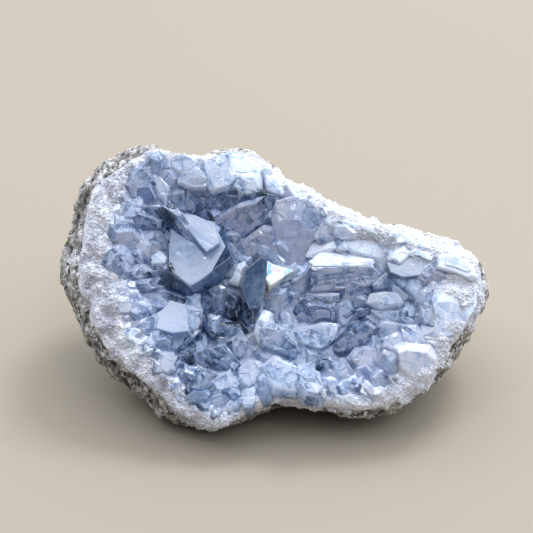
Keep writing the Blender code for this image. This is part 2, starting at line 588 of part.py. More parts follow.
def make_crust():
    """Every crystal and the sheet they grow from, joined in one crust and cut free of the rock."""
    sheet = bmesh.new()
    skin_solid(sheet, crust_grid(1.0)[:, ::2], crust_grid(0.0))
    crust = new_object("crystal_crust", sheet)
    crust.data.materials.append(material("celestite", (0.45, 0.56, 0.72), 0.15))

    crystals = bpy.data.collections.new("crystals")
    bpy.context.scene.collection.children.link(crystals)
    bed = make_bed()
    for row in LARGE_CRYSTALS_MM:
        add_large_crystal(crystals, row, bed)
    for size, matrix in small_crystals(bed):
        add_small_crystal(crystals, size, matrix, bed)

    rock = bmesh.new()
    grid = rock_grid(GAP)
    skin_solid(rock, grid[: len(grid) // 2], grid[: len(grid) // 2 - 1 : -1])
    cutter = new_object("rock_cutter", rock)

    boolean(crust, "grown_together", "UNION", crystals)
    boolean(crust, "cut_free_of_rock", "DIFFERENCE", cutter)
    largest_shell(crust)
    for obj in [*crystals.objects, cutter]:
        bpy.data.objects.remove(obj)
    bpy.data.collections.remove(crystals)
    return crust


def main():
    for obj in list(bpy.data.objects):
        bpy.data.objects.remove(obj)
    make_rock()
    make_crust()


main()
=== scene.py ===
# Celestite cluster: a broken piece of a geode. Grey gritty rind behind, white sugary druse round the
# hollow's edge, clear pale blue crystals in it. Lists are in millimetres.
import json
import math

import bpy
import numpy as np
from mathutils import Matrix, Vector
from mathutils.bvhtree import BVHTree

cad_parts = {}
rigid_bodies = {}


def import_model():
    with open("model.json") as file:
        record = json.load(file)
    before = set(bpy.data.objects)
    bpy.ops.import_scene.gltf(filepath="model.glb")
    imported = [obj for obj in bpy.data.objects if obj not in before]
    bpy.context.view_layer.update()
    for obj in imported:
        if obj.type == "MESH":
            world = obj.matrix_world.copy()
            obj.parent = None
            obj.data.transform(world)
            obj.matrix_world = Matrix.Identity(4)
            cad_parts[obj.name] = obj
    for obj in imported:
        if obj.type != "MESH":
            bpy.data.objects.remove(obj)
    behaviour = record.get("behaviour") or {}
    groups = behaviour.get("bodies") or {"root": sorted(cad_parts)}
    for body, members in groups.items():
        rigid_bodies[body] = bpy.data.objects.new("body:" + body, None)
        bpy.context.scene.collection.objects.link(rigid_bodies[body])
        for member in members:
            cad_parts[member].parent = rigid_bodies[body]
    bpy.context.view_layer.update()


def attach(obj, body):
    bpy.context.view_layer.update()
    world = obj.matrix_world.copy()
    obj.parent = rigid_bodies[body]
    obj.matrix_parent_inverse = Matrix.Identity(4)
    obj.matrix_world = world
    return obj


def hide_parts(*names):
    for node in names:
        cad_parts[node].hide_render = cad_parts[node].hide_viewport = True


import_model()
mm = 0.001

# the face plane: u right, v up the face, w out of it
facePlane = {
    "lean": math.radians(30.0),  # back from upright
    "lift": 27.9 * mm,  # height of its middle
    "tilt": 0.30,  # how much w falls for each step up v
    "centreX": -0.35 * mm,
    "centreY": -8.15 * mm,
}
leanSin, leanCos = math.sin(facePlane["lean"]), math.cos(facePlane["lean"])
faceToWorld = Matrix((
    (1, 0, 0, facePlane["centreX"]),
    (0, leanSin, -leanCos, facePlane["centreY"]),
    (0, leanCos, leanSin, facePlane["lift"]),
    (0, 0, 0, 1),
))
faceTurn = np.array(faceToWorld.to_3x3())


def placed(uvw):
    # x = u, y = v sin lean - w cos lean, z = v cos lean + w sin lean, then moved to the box's middle
    return uvw @ faceTurn.T + np.array(faceToWorld.translation)


# the rock's broad shape
rock = {
    "outline": [
        (49.5, -1.5), (48.5, 2.5), (45.5, 6.5), (39.5, 10), (31.5, 13), (24, 15), (18, 17.5),
        (10, 22), (3, 26), (-3.5, 30), (-10.5, 32.5), (-18, 32), (-25, 32.5), (-31.5, 34.5),
        (-37.5, 31.5), (-43, 26), (-46.5, 19.5), (-48, 10.5), (-48, 2.5), (-46.5, -4.5),
        (-43, -12.5), (-37.5, -19.5), (-29.5, -25.5), (-23, -31.5), (-15, -34.5), (-7.5, -31.5),
        (2, -28.5), (12, -29), (21.5, -30), (28.5, -28.5), (35.5, -23.5), (43, -16), (48, -7.5),
    ],
    "section": [  # share of the outline's radius, depth, from the face's middle to the back's
        (0.00, -6.0), (0.22, -5.6), (0.42, -3.6), (0.60, -0.4), (0.72, 2.0), (0.82, 3.2),
        (0.90, 2.6), (0.955, -0.4), (0.99, -4.5), (1.00, -9.0), (0.985, -13.5), (0.94, -18.5),
        (0.86, -23.0), (0.72, -27.0), (0.52, -30.0), (0.28, -31.6), (0.00, -32.0),
    ],
    "swells": [  # u, v, radius, height
        (-6.0, -2.0, 9.0, -3.0), (-2.0, 14.0, 9.0, -2.2), (-26.0, -12.0, 7.0, 1.2),
        (16.0, 2.0, 8.0, 1.0), (-33.0, 6.0, 8.0, 1.2), (33.0, 0.0, 7.0, 0.8),
    ],
    "swellsTo": 8,  # how far round the section the swells are whole
    "swellsFade": 8.0,  # depth in which they end past that
    "lumps": [(17.0, 1.6, 3), (8.0, 1.0, 5), (4.5, 0.5, 8)],  # size across, height, seed
    "calm": [(0.5, 0.12), (0.8, 0.35), (0.9, 1.0)],  # share of the radius, share of the lumps
    "calmTo": 9,  # how far round the section the lumps are calmed
}


def curveThrough(points, s, closed):
    # Catmull-Rom: at s = i + t the curve is the cubic that passes points i and i + 1 with slopes
    # half the step between their neighbours
    points = np.array(points, float)
    count = len(points)
    i = np.minimum(np.floor(s).astype(int), count - (1 if closed else 2))
    t = (s - i)[..., None]
    if closed:
        p0, p1, p2, p3 = (points[(i + k) % count] for k in (-1, 0, 1, 2))
    else:
        p0, p1, p2, p3 = (points[np.clip(i + k, 0, count - 1)] for k in (-1, 0, 1, 2))
    return 0.5 * (2 * p1 + (p2 - p0) * t + (2 * p0 - 5 * p1 + 4 * p2 - p3) * t ** 2
                  + (3 * p1 - p0 - 3 * p2 + p3) * t ** 3)


def outlineRadius(theta):
    # distance from the middle to the outline's curve in direction theta, read between fine steps
    steps = np.arange(len(rock["outline"]) * 6) / 6
    curve = curveThrough(rock["outline"], steps, True) * mm
    return np.interp(theta, np.arctan2(curve[:, 1], curve[:, 0]),
                     np.hypot(curve[:, 0], curve[:, 1]), period=2 * math.pi)


def hill(u, v, a, b, r):
    # 1 at a, b, falling off round it as exp(-distance^2 / 2 r^2)
    return np.exp(-((u - a) ** 2 + (v - b) ** 2) / (2 * r ** 2))


def latticeNoise(points, cell, seed):
    # random values from -1 to 1 on a grid of cells, blended by 3f^2 - 2f^3 between the corners
    table = np.random.default_rng(seed).uniform(-1, 1, 4096)
    q = points / cell
    low = np.floor(q).astype(np.int64)
    f = q - low
    f = f * f * (3 - 2 * f)
    total = np.zeros(points.shape[:-1])
    for corner in np.ndindex(2, 2, 2):
        i = low + corner
        key = (i[..., 0] * 73856093) ^ (i[..., 1] * 19349663) ^ (i[..., 2] * 83492791)
        total += np.prod(np.where(corner, f, 1 - f), axis=-1) * table[key % len(table)]
    return total


def layeredNoise(points, rows, unit=mm):
    # noises of several sizes added up: size across, height, seed
    return sum(h * unit * latticeNoise(points, size * mm, seed) for size, h, seed in rows)


def gridNormals(grid):
    # cross product of the steps along and around the grid, made one long; the poles face out
    along = np.gradient(grid, axis=0)
    around = np.roll(grid, -1, axis=1) - np.roll(grid, 1, axis=1)
    normal = np.cross(along, around)
    normal[0] = (0, 0, 1)
    if np.ptp(grid[-1], axis=0).max() < mm:  # the last ring is a pole too
        normal[-1] = (0, 0, -1)
    return normal / np.maximum(np.linalg.norm(normal, axis=-1, keepdims=True), 1e-12)


def rockGrid(s, spokes):
    # point (s, theta): radius = section share(s) * outline radius(theta), w = section depth(s)
    # - tilt * v + swells on the face, then moved along the normal by three sizes of lumps
    section = curveThrough(rock["section"], s, False)
    theta = np.linspace(-math.pi, math.pi, spokes, endpoint=False)
    share, depth = section[:, 0, None], section[:, 1, None] * mm
    u = share * outlineRadius(theta) * np.cos(theta)
    v = share * outlineRadius(theta) * np.sin(theta)
    fade = rock["swellsFade"] * mm
    onFace = np.where(s[:, None] < rock["swellsTo"], 1.0, np.clip((depth + fade) / fade, 0, 1))
    swell = sum(h * mm * hill(u, v, a * mm, b * mm, r * mm) for a, b, r, h in rock["swells"])
    grid = np.stack([u, v, depth - facePlane["tilt"] * v + swell * onFace], axis=-1)
    calm = np.where(s[:, None] < rock["calmTo"], np.interp(share, *np.array(rock["calm"]).T), 1)
    grid = grid + gridNormals(grid) * (layeredNoise(grid, rock["lumps"]) * calm)[..., None]
    grid[0] = grid[0].mean(axis=0)
    if s[-1] >= len(rock["section"]) - 1:
        grid[-1] = grid[-1].mean(axis=0)
    return grid


# building meshes and materials
def linear(code):
    # an sRGB hex colour as linear red, green, blue and 1
    c = np.array([int(code[i:i + 2], 16) for i in (1, 3, 5)]) / 255
    return (*np.where(c <= 0.04045, c / 12.92, ((c + 0.055) / 1.055) ** 2.4).tolist(), 1)


def addNode(tree, kind, links=None, output=0, **settings):
    # adds a node with its settings, links its inputs or sets them (text being a hex colour), and
    # gives the output that is read next
    made = tree.nodes.new("ShaderNode" + kind)
    for key, value in settings.items():
        setattr(made, key, value)
    for key, value in (links or {}).items():
        if isinstance(value, bpy.types.NodeSocket):
            tree.links.new(value, made.inputs[key])
        else:
            made.inputs[key].default_value = linear(value) if isinstance(value, str) else value
    return made.outputs[output]


def newMaterial(name, look, values):
    # a material and its first parts: the place that its patterns go by, the mesh's named values, its
    # noises, and its ranges: a part brought from low to high to between first and last
    made = bpy.data.materials.new(name)
    made.use_nodes = True
    tree = made.node_tree
    if "place" in look:
        part = {"where": addNode(tree, "Attribute", output="Vector", attribute_name=look["place"])}
    else:
        part = {"where": addNode(tree, "TexCoord", output="Object")}
    for key in values:
        part[key] = addNode(tree, "Attribute", output="Fac", attribute_name=key)
    for key, settings in look["noises"].items():
        part[key] = addNode(tree, "TexNoise", {"Vector": part["where"], **settings},
                            noise_dimensions="4D" if "W" in settings else "3D")
    for key, (source, low, high, first, last) in look["ranges"].items():
        part[key] = addNode(tree, "MapRange", {0: part[source], 1: low, 2: high, 3: first, 4: last})
    return made, tree, part


def finishMaterial(tree, colour, height, bump, values):
    # the shader's colour, bumps and own values
    shader = tree.nodes["Principled BSDF"]
    strength, distance = bump
    bumps = addNode(tree, "Bump", {"Height": height, "Strength": strength, "Distance": distance * mm})
    tree.links.new(colour, shader.inputs["Base Color"])
    tree.links.new(bumps, shader.inputs["Normal"])
    for key, value in values.items():
        shader.inputs[key].default_value = value


def newMesh(name, points, faces, values, domain="POINT"):
    # values: a number or a vector for each point, face corner or face
    mesh = bpy.data.meshes.new(name)
    mesh.from_pydata(points.reshape(-1, 3).tolist(), [], faces)
    for key, column in values.items():
        vector = np.ndim(column) > 1
        made = mesh.attributes.new(key, "FLOAT_VECTOR" if vector else "FLOAT", domain)
        made.data.foreach_set("vector" if vector else "value", np.asarray(column, np.float32).ravel())
    return mesh


def buildPiece(name, mesh, material, smooth=False):
    if smooth:
        mesh.shade_smooth()
    mesh.materials.clear()
    mesh.materials.append(material)
    piece = bpy.data.objects.new(name, mesh)
    bpy.context.scene.collection.objects.link(piece)
    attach(piece, "root")
    print(name, len(mesh.vertices), "vertices", len(mesh.polygons), "faces")
    return piece


def skinFaces(rows, spokes):
    # vertex numbers of the quads between rings, the first and the last ring being one point each
    index = 1 + np.arange((rows - 2) * spokes).reshape(rows - 2, spokes)
    beside = np.roll(index, -1, axis=1)
    quads = np.stack([index[:-1], index[1:], beside[1:], beside[:-1]], -1).reshape(-1, 4)
    last = 1 + (rows - 2) * spokes
    front = np.stack([np.zeros(spokes, int), index[0], beside[0]], -1)
    back = np.stack([np.full(spokes, last), beside[-1], index[-1]], -1)
    return quads.tolist() + front.tolist() + back.tolist()


def skinPoints(grid):
    # the grid's points in the order that skinFaces counts them
    return np.concatenate([grid[0, :1], grid[1:-1].reshape(-1, grid.shape[-1]), grid[-1, :1]])


# rind: iron-stained, gritty limestone, broken and weathered
rind = {
    "frontRings": 8,
    "rings": 150,
    "spokes": 560,
    "hidden": 5.0,  # the section up to here lies under the crystals
    "whiteTo": [  # direction in degrees, how far round the section the white crust reaches
        (-180, 5.7), (-165, 5.6), (-150, 5.6), (-135, 6.2), (-115, 7.8), (-90, 7.6), (-70, 7.0),
        (-50, 5.8), (-35, 5.8), (-18, 6.2), (-5, 7.4), (8, 8.0), (30, 8.1), (60, 8.1), (95, 7.8),
        (115, 6.8), (130, 6.2), (150, 6.0), (180, 5.7),
    ],
    "ragged": [(6, 1.1, 31), (2.5, 0.88, 32)],  # size across, how far its edge wanders, seed
    "whiteFade": 0.9,
    "grit": [(2.6, 0.75, 21), (1.3, 0.50, 22), (0.75, 0.26, 23)],  # size across, height, seed
    "worn": 0.7,  # how far inside the broad shape the gritty surface lies
    "noises": {  # a scale is one over the width of two blotches
        "grain": {"Scale": 1 / (1.1 * mm), "Detail": 3, "Roughness": 0.65},
        "stain": {"Scale": 1 / (6.4 * mm), "Detail": 3, "Roughness": 0.6},
        "fine": {"Scale": 1 / (0.56 * mm), "Roughness": 0.6},
        "dark": {"W": 21.0, "Scale": 1 / (1.6 * mm), "Detail": 3, "Roughness": 0.7},
        "dusty": {"W": 13.0, "Scale": 1 / (3.4 * mm), "Detail": 3, "Roughness": 0.6},
    },
    "ranges": {
        "grains": ("grain", 0.40, 0.60, 0.0, 1.0), "stains": ("stain", 0.38, 0.62, 0.0, 0.5),
        "pits": ("relief", -1.4, -0.5, 1.0, 0.0), "specks": ("dark", 0.53, 0.60, 0.0, 1.0),
        "sparkle": ("fine", 0.40, 0.56, 0.0, 1.0), "dust": ("dusty", 0.50, 0.64, 0.0, 0.8),
    },
    "stone": ("#7b7671", "#e6e3e0"),
    "onStone": {"stains": "#9c948a", "pits": "#35322f", "specks": "#35322f"},
    "sugary": ("#cdced8", "#f1f2f7"),
    "dust": "#9d9aa5",
    "edge": (1.4, 1.05, 1.35),  # how ragged the sugary skin's edge is, and where it starts and is whole
    "fineBumps": 0.6,
    "bump": (0.9, 0.25),  # strength, height
    "shader": {"Roughness": 0.85, "IOR": 1.55, "Subsurface Weight": 0.08, "Subsurface Scale": 1.0,
               "Subsurface Radius": (0.9 * mm, 0.8 * mm, 0.8 * mm)},
}


def evenSteps(low, high, count):
    # places along the section whose points are equally far apart, for a middling radius of 40 mm
    s = np.linspace(low, high, 600)
    curve = curveThrough(rock["section"], s, False) * [40, 1]
    length = np.r_[0, np.cumsum(np.linalg.norm(np.diff(curve, axis=0), axis=1))]
    return np.interp(np.linspace(0, length[-1], count), length, s)


def whiteness(grid, s, spokes):
    # 1 on the white crust, 0 on bare rind, with a ragged edge between them
    theta = np.degrees(np.linspace(-math.pi, math.pi, spokes, endpoint=False))
    reach = np.interp(theta, *np.array(rind["whiteTo"]).T) + layeredNoise(grid, rind["ragged"], 1)
    return np.clip((reach - s[:, None]) / rind["whiteFade"] + 0.5, 0, 1)


rindSteps = np.r_[np.linspace(0, rind["hidden"], rind["frontRings"], endpoint=False),
                  evenSteps(rind["hidden"], len(rock["section"]) - 1, rind["rings"])]
rindGrid = rockGrid(rindSteps, rind["spokes"])
rindWhite = whiteness(rindGrid, rindSteps, rind["spokes"])
rindRough = layeredNoise(rindGrid, rind["grit"]) - rind["worn"] * mm
rindRough *= np.clip(rindSteps - rind["hidden"], 0, 1)[:, None]
rindRough[-1] = rindRough[-1].mean()
rindGrid = rindGrid + gridNormals(rindGrid) * rindRough[..., None]
rindPoints = skinPoints(placed(rindGrid))
rindPoints[:, 2] = np.maximum(rindPoints[:, 2], 0)  # flat where it rests
rindValues = skinPoints(np.stack([rindWhite, rindRough / mm], -1))


def limestoneMaterial():
    # weathered limestone: matt grey-brown grains with paler and darker specks, darker in the pits,
    # and a white sugary skin where the crystals' crust thins out over it
    made, tree, part = newMaterial("weatheredLimestone", rind, ("white", "relief"))
    stone = addNode(tree, "MixRGB", {0: part["grains"], 1: rind["stone"][0], 2: rind["stone"][1]})
    for key, code in rind["onStone"].items():
        stone = addNode(tree, "MixRGB", {0: part[key], 1: stone, 2: code})
    sugary = addNode(tree, "MixRGB", {0: part["sparkle"], 1: rind["sugary"][0], 2: rind["sugary"][1]})
    sugary = addNode(tree, "MixRGB", {0: part["dust"], 1: sugary, 2: rind["dust"]})
    ragged, starts, whole = rind["edge"]
    edge = addNode(tree, "Math", {0: part["fine"], 1: ragged, 2: part["white"]}, operation="MULTIPLY_ADD")
    edge = addNode(tree, "MapRange", {0: edge, 1: starts, 2: whole})
    colour = addNode(tree, "MixRGB", {0: edge, 1: stone, 2: sugary})
    height = addNode(tree, "Math", {0: part["fine"], 1: rind["fineBumps"], 2: part["grains"]},
                     operation="MULTIPLY_ADD")
    finishMaterial(tree, colour, height, rind["bump"], rind["shader"])
    return made


rindMesh = newMesh("matrixRind", rindPoints, skinFaces(len(rindSteps), rind["spokes"]),
                   {"white": rindValues[:, 0], "relief": rindValues[:, 1]})
matrixRind = buildPiece("matrixRind", rindMesh, limestoneMaterial(), smooth=True)
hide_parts("matrix_rock")

# the large crystals: name, height of the top face's middle above the leaning face, how far the top
# face leans (degrees right, degrees up), clearness, lilac share, and its corners (u, v)
largeCrystals = [
    ("table", 4.8, -10, 24, 0.40, 0.1, [(-23.5, 13), (-23.5, 3), (-18.5, -0.5), (-16, 1), (-9.5, 6),
     (-11.5, 9.5), (-13.5, 13.5), (-21.5, 16)]),
    ("strip", 5.9, 34, 6, 0.8, 0.1, [(-23.5, 17), (-21.5, 17.5), (-14.5, 7.5), (-16, 6)]),
    ("tableWall", 3.4, 12, -40, 0.9, 0.0, [(-18.5, -0.5), (-9.5, 6), (-8.5, 4.5), (-11, 1.5),
     (-15.5, -5), (-20, -3), (-19.5, -0.5)]),
    ("tableBar", 2.8, -10, -35, 1.0, 0.0, [(-26, 0), (-23.5, 3), (-19, -0.5), (-19.5, -2.5),
     (-20, -4.5), (-26, -1)]),
    ("plate", 6.6, 4, 30, 0.4, 0.2, [(-15, 7), (-12, 9), (-12.5, 10.5), (-13.5, 13.5), (-18, 15.5),
     (-22, 15.5)]),
    ("hexagon", 5.0, -14, 32, 0.29, 0.05, [(-26, -9.5), (-22, -10.5), (-18.5, -10), (-19, -4.5),
     (-23, -3.5), (-24.5, -5.5), (-27, -7)]),
    ("hexagonSide", 4.4, 30, 14, 0.45, 0.15, [(-18.5, -10), (-16.5, -10), (-15.5, -7), (-15.5, -5),
     (-19, -4.5)]),
    ("hexagonFoot", 3.6, 12, -10, 0.55, 0.0, [(-23, -16), (-21.5, -16.5), (-16, -10.5), (-17, -10),
     (-22, -14.5)]),
    ("spire", 4.8, 8, -10, 0.95, 0.0, [(-6.5, 3), (-7.5, -0.5), (-5.5, -6), (-3, -5.5), (-2, -1.5),
     (-1.5, 5.5), (-3, 6)]),
    ("frostChip", 2.8, 14, 14, 0.15, 0.05, [(-10, 0.5), (-7.5, -0.5), (-5.5, 3), (-6.5, 5), (-8, 4.5)]),
    ("rainbow", 4.0, 6, 34, 0.1, 0.0, [(-2, 1), (-1, -0.5), (2, 1.5), (4.5, 3), (-0.5, 4.5), (-2, 5.5)]),
    ("pitBack", -1.8, -10, -4, 1.0, 0.45, [(-14, -8.5), (-7.5, -8.5), (-5.5, -7.5), (-7.5, -3),
     (-10.5, -1.5), (-13, -4.5)]),
    ("pitSide", -0.4, 28, -8, 1.0, 0.3, [(-7.5, -8.5), (-5.5, -11), (-4.5, -8.5), (-5, -6), (-7.5, -3)]),
    ("pitFloor", -0.2, 4, 4, 0.9, 0.1, [(-11.5, -13.5), (-8, -13.5), (-5.5, -11.5), (-7, -8.5),
     (-12, -8.5), (-14, -12)]),
    ("lilacFloor", 1.6, 2, 16, 0.6, 0.55, [(-9.5, -15), (-7.5, -16), (-5, -13), (-7.5, -10),
     (-10.5, -12.5)]),
    ("greyFloor", 1.0, -10, 8, 0.65, 0.3, [(-14.5, -15.5), (-11, -17), (-8, -17), (-9, -15), (-11, -13),
     (-13.5, -12.5), (-16.5, -14)]),
    ("darkPrism", 2.4, -4, -12, 0.95, 0.05, [(-20.5, -18.5), (-17.5, -17.5), (-17.5, -15), (-20.5, -15),
     (-21.5, -16.5)]),
    ("darkBar", 3.2, 4, -20, 0.9, 0.0, [(-16.5, -17), (-12, -19), (-10.5, -17.5), (-15.5, -15),
     (-17.5, -15)]),
    ("barFoot", 2.6, -14, 20, 0.3, 0.05, [(-17.5, -20), (-15, -21), (-12.5, -19), (-16.5, -17.5),
     (-17.5, -16.5)]),
    ("paleFloor", 4.2, -6, 24, 0.45, 0.05, [(5.5, -12.5), (7.5, -13.5), (10, -14), (13, -11.5),
     (14, -8.5), (10.5, -8), (5.5, -9.5), (3, -10)]),
    ("purpleBack", 3.2, -4, -12, 0.85, 0.55, [(5.5, -9.5), (10.5, -8), (14, -8.5), (14.5, -6),
     (13.5, -4), (8.5, -3), (5.5, -3.5), (3.5, -7.5)]),
    ("shelfFront", 4.6, 2, 0, 0.45, 0.45, [(7.5, -2), (15, -1.5), (22, -0.5), (24.5, 2.5), (22, 5),
     (7.5, 4)]),
    ("shelfTop", 4.2, 0, 52, 0.12, 0.1, [(8.5, 4), (17, 4), (22, 4.5), (22, 5.5), (17, 7), (10, 7),
     (7.5, 5)]),
    ("shelfEnd", 3.8, 34, -20, 0.95, 0.0, [(22, -1.5), (25, -1.5), (25.5, 0.5), (25, 2.5), (22, -0.5)]),
    ("purpleCleft", 3.0, 10, -14, 0.85, 0.6, [(14, -4.5), (16.5, -5.5), (19, -4), (21.5, -2),
     (21.5, -0.5), (17, 0.5), (15, -1.5)]),
    ("greyBack", 2.6, -16, -10, 0.8, 0.1, [(-1, -3.5), (1, -4), (5, -3.5), (7.5, -1.5), (7.5, 3.5),
     (5, 1.5), (1.5, 0), (-1.5, -2)]),
    ("speckled", 3.4, -12, 6, 0.5, 0.35, [(5.5, -4), (9, -3.5), (13.5, -4.5), (14, -2), (8, -1.5),
     (5.5, -1)]),
    ("blueBench", 4.4, 6, 20, 0.55, 0.0, [(23, -5.5), (27.5, -5), (28.5, -4), (27.5, -2), (24, -1.5),
     (21, -2), (20, -4)]),
    ("blueRib", 3.6, -12, -2, 0.6, 0.0, [(25, -1.5), (29, -4.5), (30.5, -3.5), (25.5, 0.5), (25, 1.5)]),
    ("iceWindow", 3.4, -6, 24, 0.35, 0.0, [(27.5, -1), (31, -3.5), (33, -1), (32.5, 1), (28.5, 1.5),
     (26, 1.5)]),
    ("iceCluster", 3.4, 4, 12, 0.35, 0.0, [(22, -7), (24.5, -8.5), (28, -8), (27.5, -5.5), (21, -5.5)]),
    ("blueKnob", 3.8, 10, 6, 0.55, 0.0, [(27.5, -8), (29, -9), (31, -8.5), (31.5, -6), (30, -4.5),
     (28, -5.5)]),
    ("blueWall", 3.0, -4, 4, 0.6, 0.1, [(22.5, -10.5), (23.5, -13), (26.5, -14), (27.5, -12),
     (27, -8.5), (23, -8)]),
    ("iceWedge", 3.6, 10, 22, 0.3, 0.0, [(27.5, -11.5), (29.5, -14), (33, -13.5), (32.5, -11),
     (31, -8.5), (27.5, -8.5)]),
    ("darkBeam", 4.0, 8, -12, 0.9, 0.3, [(14.5, -16), (21.5, -12.5), (23, -9.5), (20.5, -8),
     (16.5, -10), (12.5, -13.5)]),
    ("brownCleft", 2.4, 4, -10, 0.9, 0.45, [(16, -7.5), (17.5, -9), (21, -8), (22, -6), (21, -5),
     (16, -6)]),
    ("darkWedge", 3.4, 14, -10, 0.9, 0.1, [(9, -21), (11.5, -20.5), (11.5, -16.5), (10, -16.5),
     (8, -19.5)]),
    ("lowerBench", 3.6, 2, 6, 0.65, 0.1, [(-3, -13.5), (0, -15), (4.5, -16.5), (6, -14.5), (6, -12.5),
     (3, -9), (-1.5, -8.5), (-3.5, -10)]),
    ("lowerBeam", 3.4, 8, -6, 0.6, 0.05, [(6.5, -17), (8, -19), (10, -16.5), (13, -15.5), (12.5, -13.5),
     (10, -14.5), (7, -14)]),
    ("frostRib", 4.0, -26, 12, 0.15, 0.05, [(-4.5, -8), (-5, -11.5), (-3.5, -13.5), (-3, -11.5),
     (-1.5, -9), (-1.5, -6), (-3, -5.5)]),
    ("paleBench", 3.8, 2, 26, 0.4, 0.05, [(-0.5, -23), (4.5, -23.5), (7.5, -21.5), (6.5, -17.5),
     (3.5, -16.5), (0, -15), (-3, -17.5)]),
    ("paleRamp", 3.0, -4, 24, 0.35, 0.2, [(-8, -20.5), (-6, -22.5), (-3, -20.5), (-1, -20), (-3, -16.5),
     (-5.5, -16), (-8, -18)]),
    ("paleKnob", 2.8, -6, 22, 0.4, 0.2, [(-13.5, -23.5), (-10, -24), (-7.5, -21.5), (-9, -18.5),
     (-12, -19), (-15, -21)]),
    ("paleEdge", 3.2, 4, 16, 0.35, 0.25, [(12.5, -20), (15, -21.5), (17.5, -19.5), (16, -16), (12, -17)]),
    ("lilacLump", 3.0, 6, 12, 0.35, 0.5, [(17.5, -19), (21.5, -19), (23, -15.5), (21.5, -13),
     (17.5, -13.5), (15.5, -16)]),
    ("lilacKnob", 3.2, 10, 18, 0.3, 0.45, [(22.5, -16), (26, -17), (27.5, -14.5), (25.5, -12), (22, -13)]),
    ("ledgeLeft", 4.4, -8, 22, 0.3, 0.0, [(-24, 25.5), (-21.5, 24), (-18, 24.5), (-17.5, 26.5),
     (-19, 29), (-22.5, 29.5), (-25, 28)]),
    ("ledgeLow", 3.8, -4, 12, 0.4, 0.15, [(-22, 22.5), (-19.5, 21), (-15.5, 21), (-15, 24),
     (-17.5, 26.5), (-21.5, 25.5)]),
    ("ledgeMiddle", 4.6, 0, 34, 0.3, 0.0, [(-16, 24), (-14, 20.5), (-10.5, 21.5), (-7.5, 25), (-9, 28),
     (-12, 30), (-17.5, 28)]),
    ("ledgeRight", 4.6, 8, 28, 0.25, 0.0, [(-10, 22), (-6, 21), (-2.5, 21.5), (-2.5, 25), (-4, 28),
     (-10, 31), (-11.5, 30)]),
    ("paleEnd", 3.4, 12, 26, 0.15, 0.15, [(-1.5, 21), (2, 20), (3, 21.5), (1, 24), (-2, 24.5)]),
    ("wallA", 2.8, -8, -14, 0.85, 0.25, [(-23, 16.5), (-20, 16), (-20, 21.5), (-24, 21)]),
    ("wallB", 2.4, 2, -18, 0.9, 0.45, [(-20.5, 16.5), (-18, 15.5), (-15.5, 17), (-15.5, 21.5),
     (-17.5, 21), (-20.5, 21.5)]),
    ("wallC", 3.4, 4, -24, 0.85, 0.05, [(-15, 17), (-13, 14.5), (-4.5, 18), (-2.5, 21), (-10, 22),
     (-15.5, 21)]),
    ("wallDark", 2.2, -6, -20, 1.0, 0.0, [(-16, 14), (-13.5, 14), (-15.5, 17.5), (-19, 16)]),
    ("wallD", 2.6, -6, -20, 0.7, 0.6, [(-13, 12), (-11, 9.5), (-6, 10), (-2.5, 12.5), (-2.5, 19),
     (-8, 17.5), (-14, 14.5)]),
    ("wallE", 3.2, 10, -14, 0.85, 0.35, [(-2.5, 13.5), (-1, 13), (1.5, 18), (1, 20), (-3, 21)]),
    ("purpleMass", 3.4, 5, -8, 0.30, 0.45, [(-0.5, 14.5), (0.5, 18), (4, 19), (7.5, 18.5), (11, 15),
     (12, 12.5), (9.5, 9.5), (9, 6), (7.5, 3), (4, 1.5), (1, 3), (0.5, 5), (2, 8), (0, 11.5)]),
    ("wallG", 3.8, 18, -6, 0.42, 0.35, [(9, 10), (10.5, 8.5), (13.5, 9.5), (15, 11), (11.5, 14.5)]),
    ("wallH", 2.2, -4, -4, 0.48, 0.65, [(-7, 5.5), (-5.5, 4.5), (-1, 7), (2.5, 8.5), (1.5, 12.5),
     (-2.5, 13), (-6, 10.5), (-7.5, 9)]),
    ("blueStrip", 2.2, 18, 0, 0.6, 0.0, [(-9.5, 6), (-7.5, 4.5), (-6, 5), (-10.5, 10), (-12, 9.5)]),
    ("leftBands", 3.4, -14, -10, 0.75, 0.3, [(-33, 12.5), (-29, 12), (-25.5, 12), (-25.5, 14),
     (-31, 16), (-34, 14.5)]),
    ("leftIce", 3.4, -14, 14, 0.3, 0.1, [(-31.5, 7.5), (-28.5, 6), (-27.5, 9), (-29.5, 11.5),
     (-32.5, 11.5)]),
    ("leftBlue", 3.0, 4, -8, 0.7, 0.25, [(-26, 7), (-24, 7.5), (-24, 9.5), (-25.5, 12), (-28.5, 11.5)]),
    ("leftWhite", 3.6, -10, 30, 0.05, 0.1, [(-27.5, 4.5), (-24.5, 4.5), (-24, 6), (-26.5, 8.5), (-28, 7)]),
    ("leftGrey", 2.8, -12, 0, 0.6, 0.55, [(-29.5, 1.5), (-25.5, 1.5), (-23, 3.5), (-24.5, 5), (-30, 4.5)]),
    ("leftDark", 3.0, -16, -10, 0.75, 0.6, [(-36, 1.5), (-33.5, 0), (-31.5, 2.5), (-33, 5), (-36.5, 3.5)]),
    ("leftBrown", 2.4, -10, -8, 0.75, 0.55, [(-32, -2), (-29.5, -2.5), (-26, -1), (-27.5, 1),
     (-33.5, 0.5)]),
    ("leftBase", 2.4, -4, 0, 0.7, 0.15, [(-26, -5.5), (-23.5, -4), (-20, -4.5), (-19.5, -3), (-24, -1),
     (-27, -1.5)]),
    ("leftWindow", 3.4, -10, -4, 0.65, 0.9, [(-31.5, 19), (-29, 17.5), (-26.5, 19), (-28, 22),
     (-32.5, 21.5)]),
    ("leftEdge", 3.8, -10, 16, 0.4, 0.1, [(-26.5, 19.5), (-24.5, 17.5), (-23.5, 21.5), (-26.5, 25),
     (-28, 24)]),
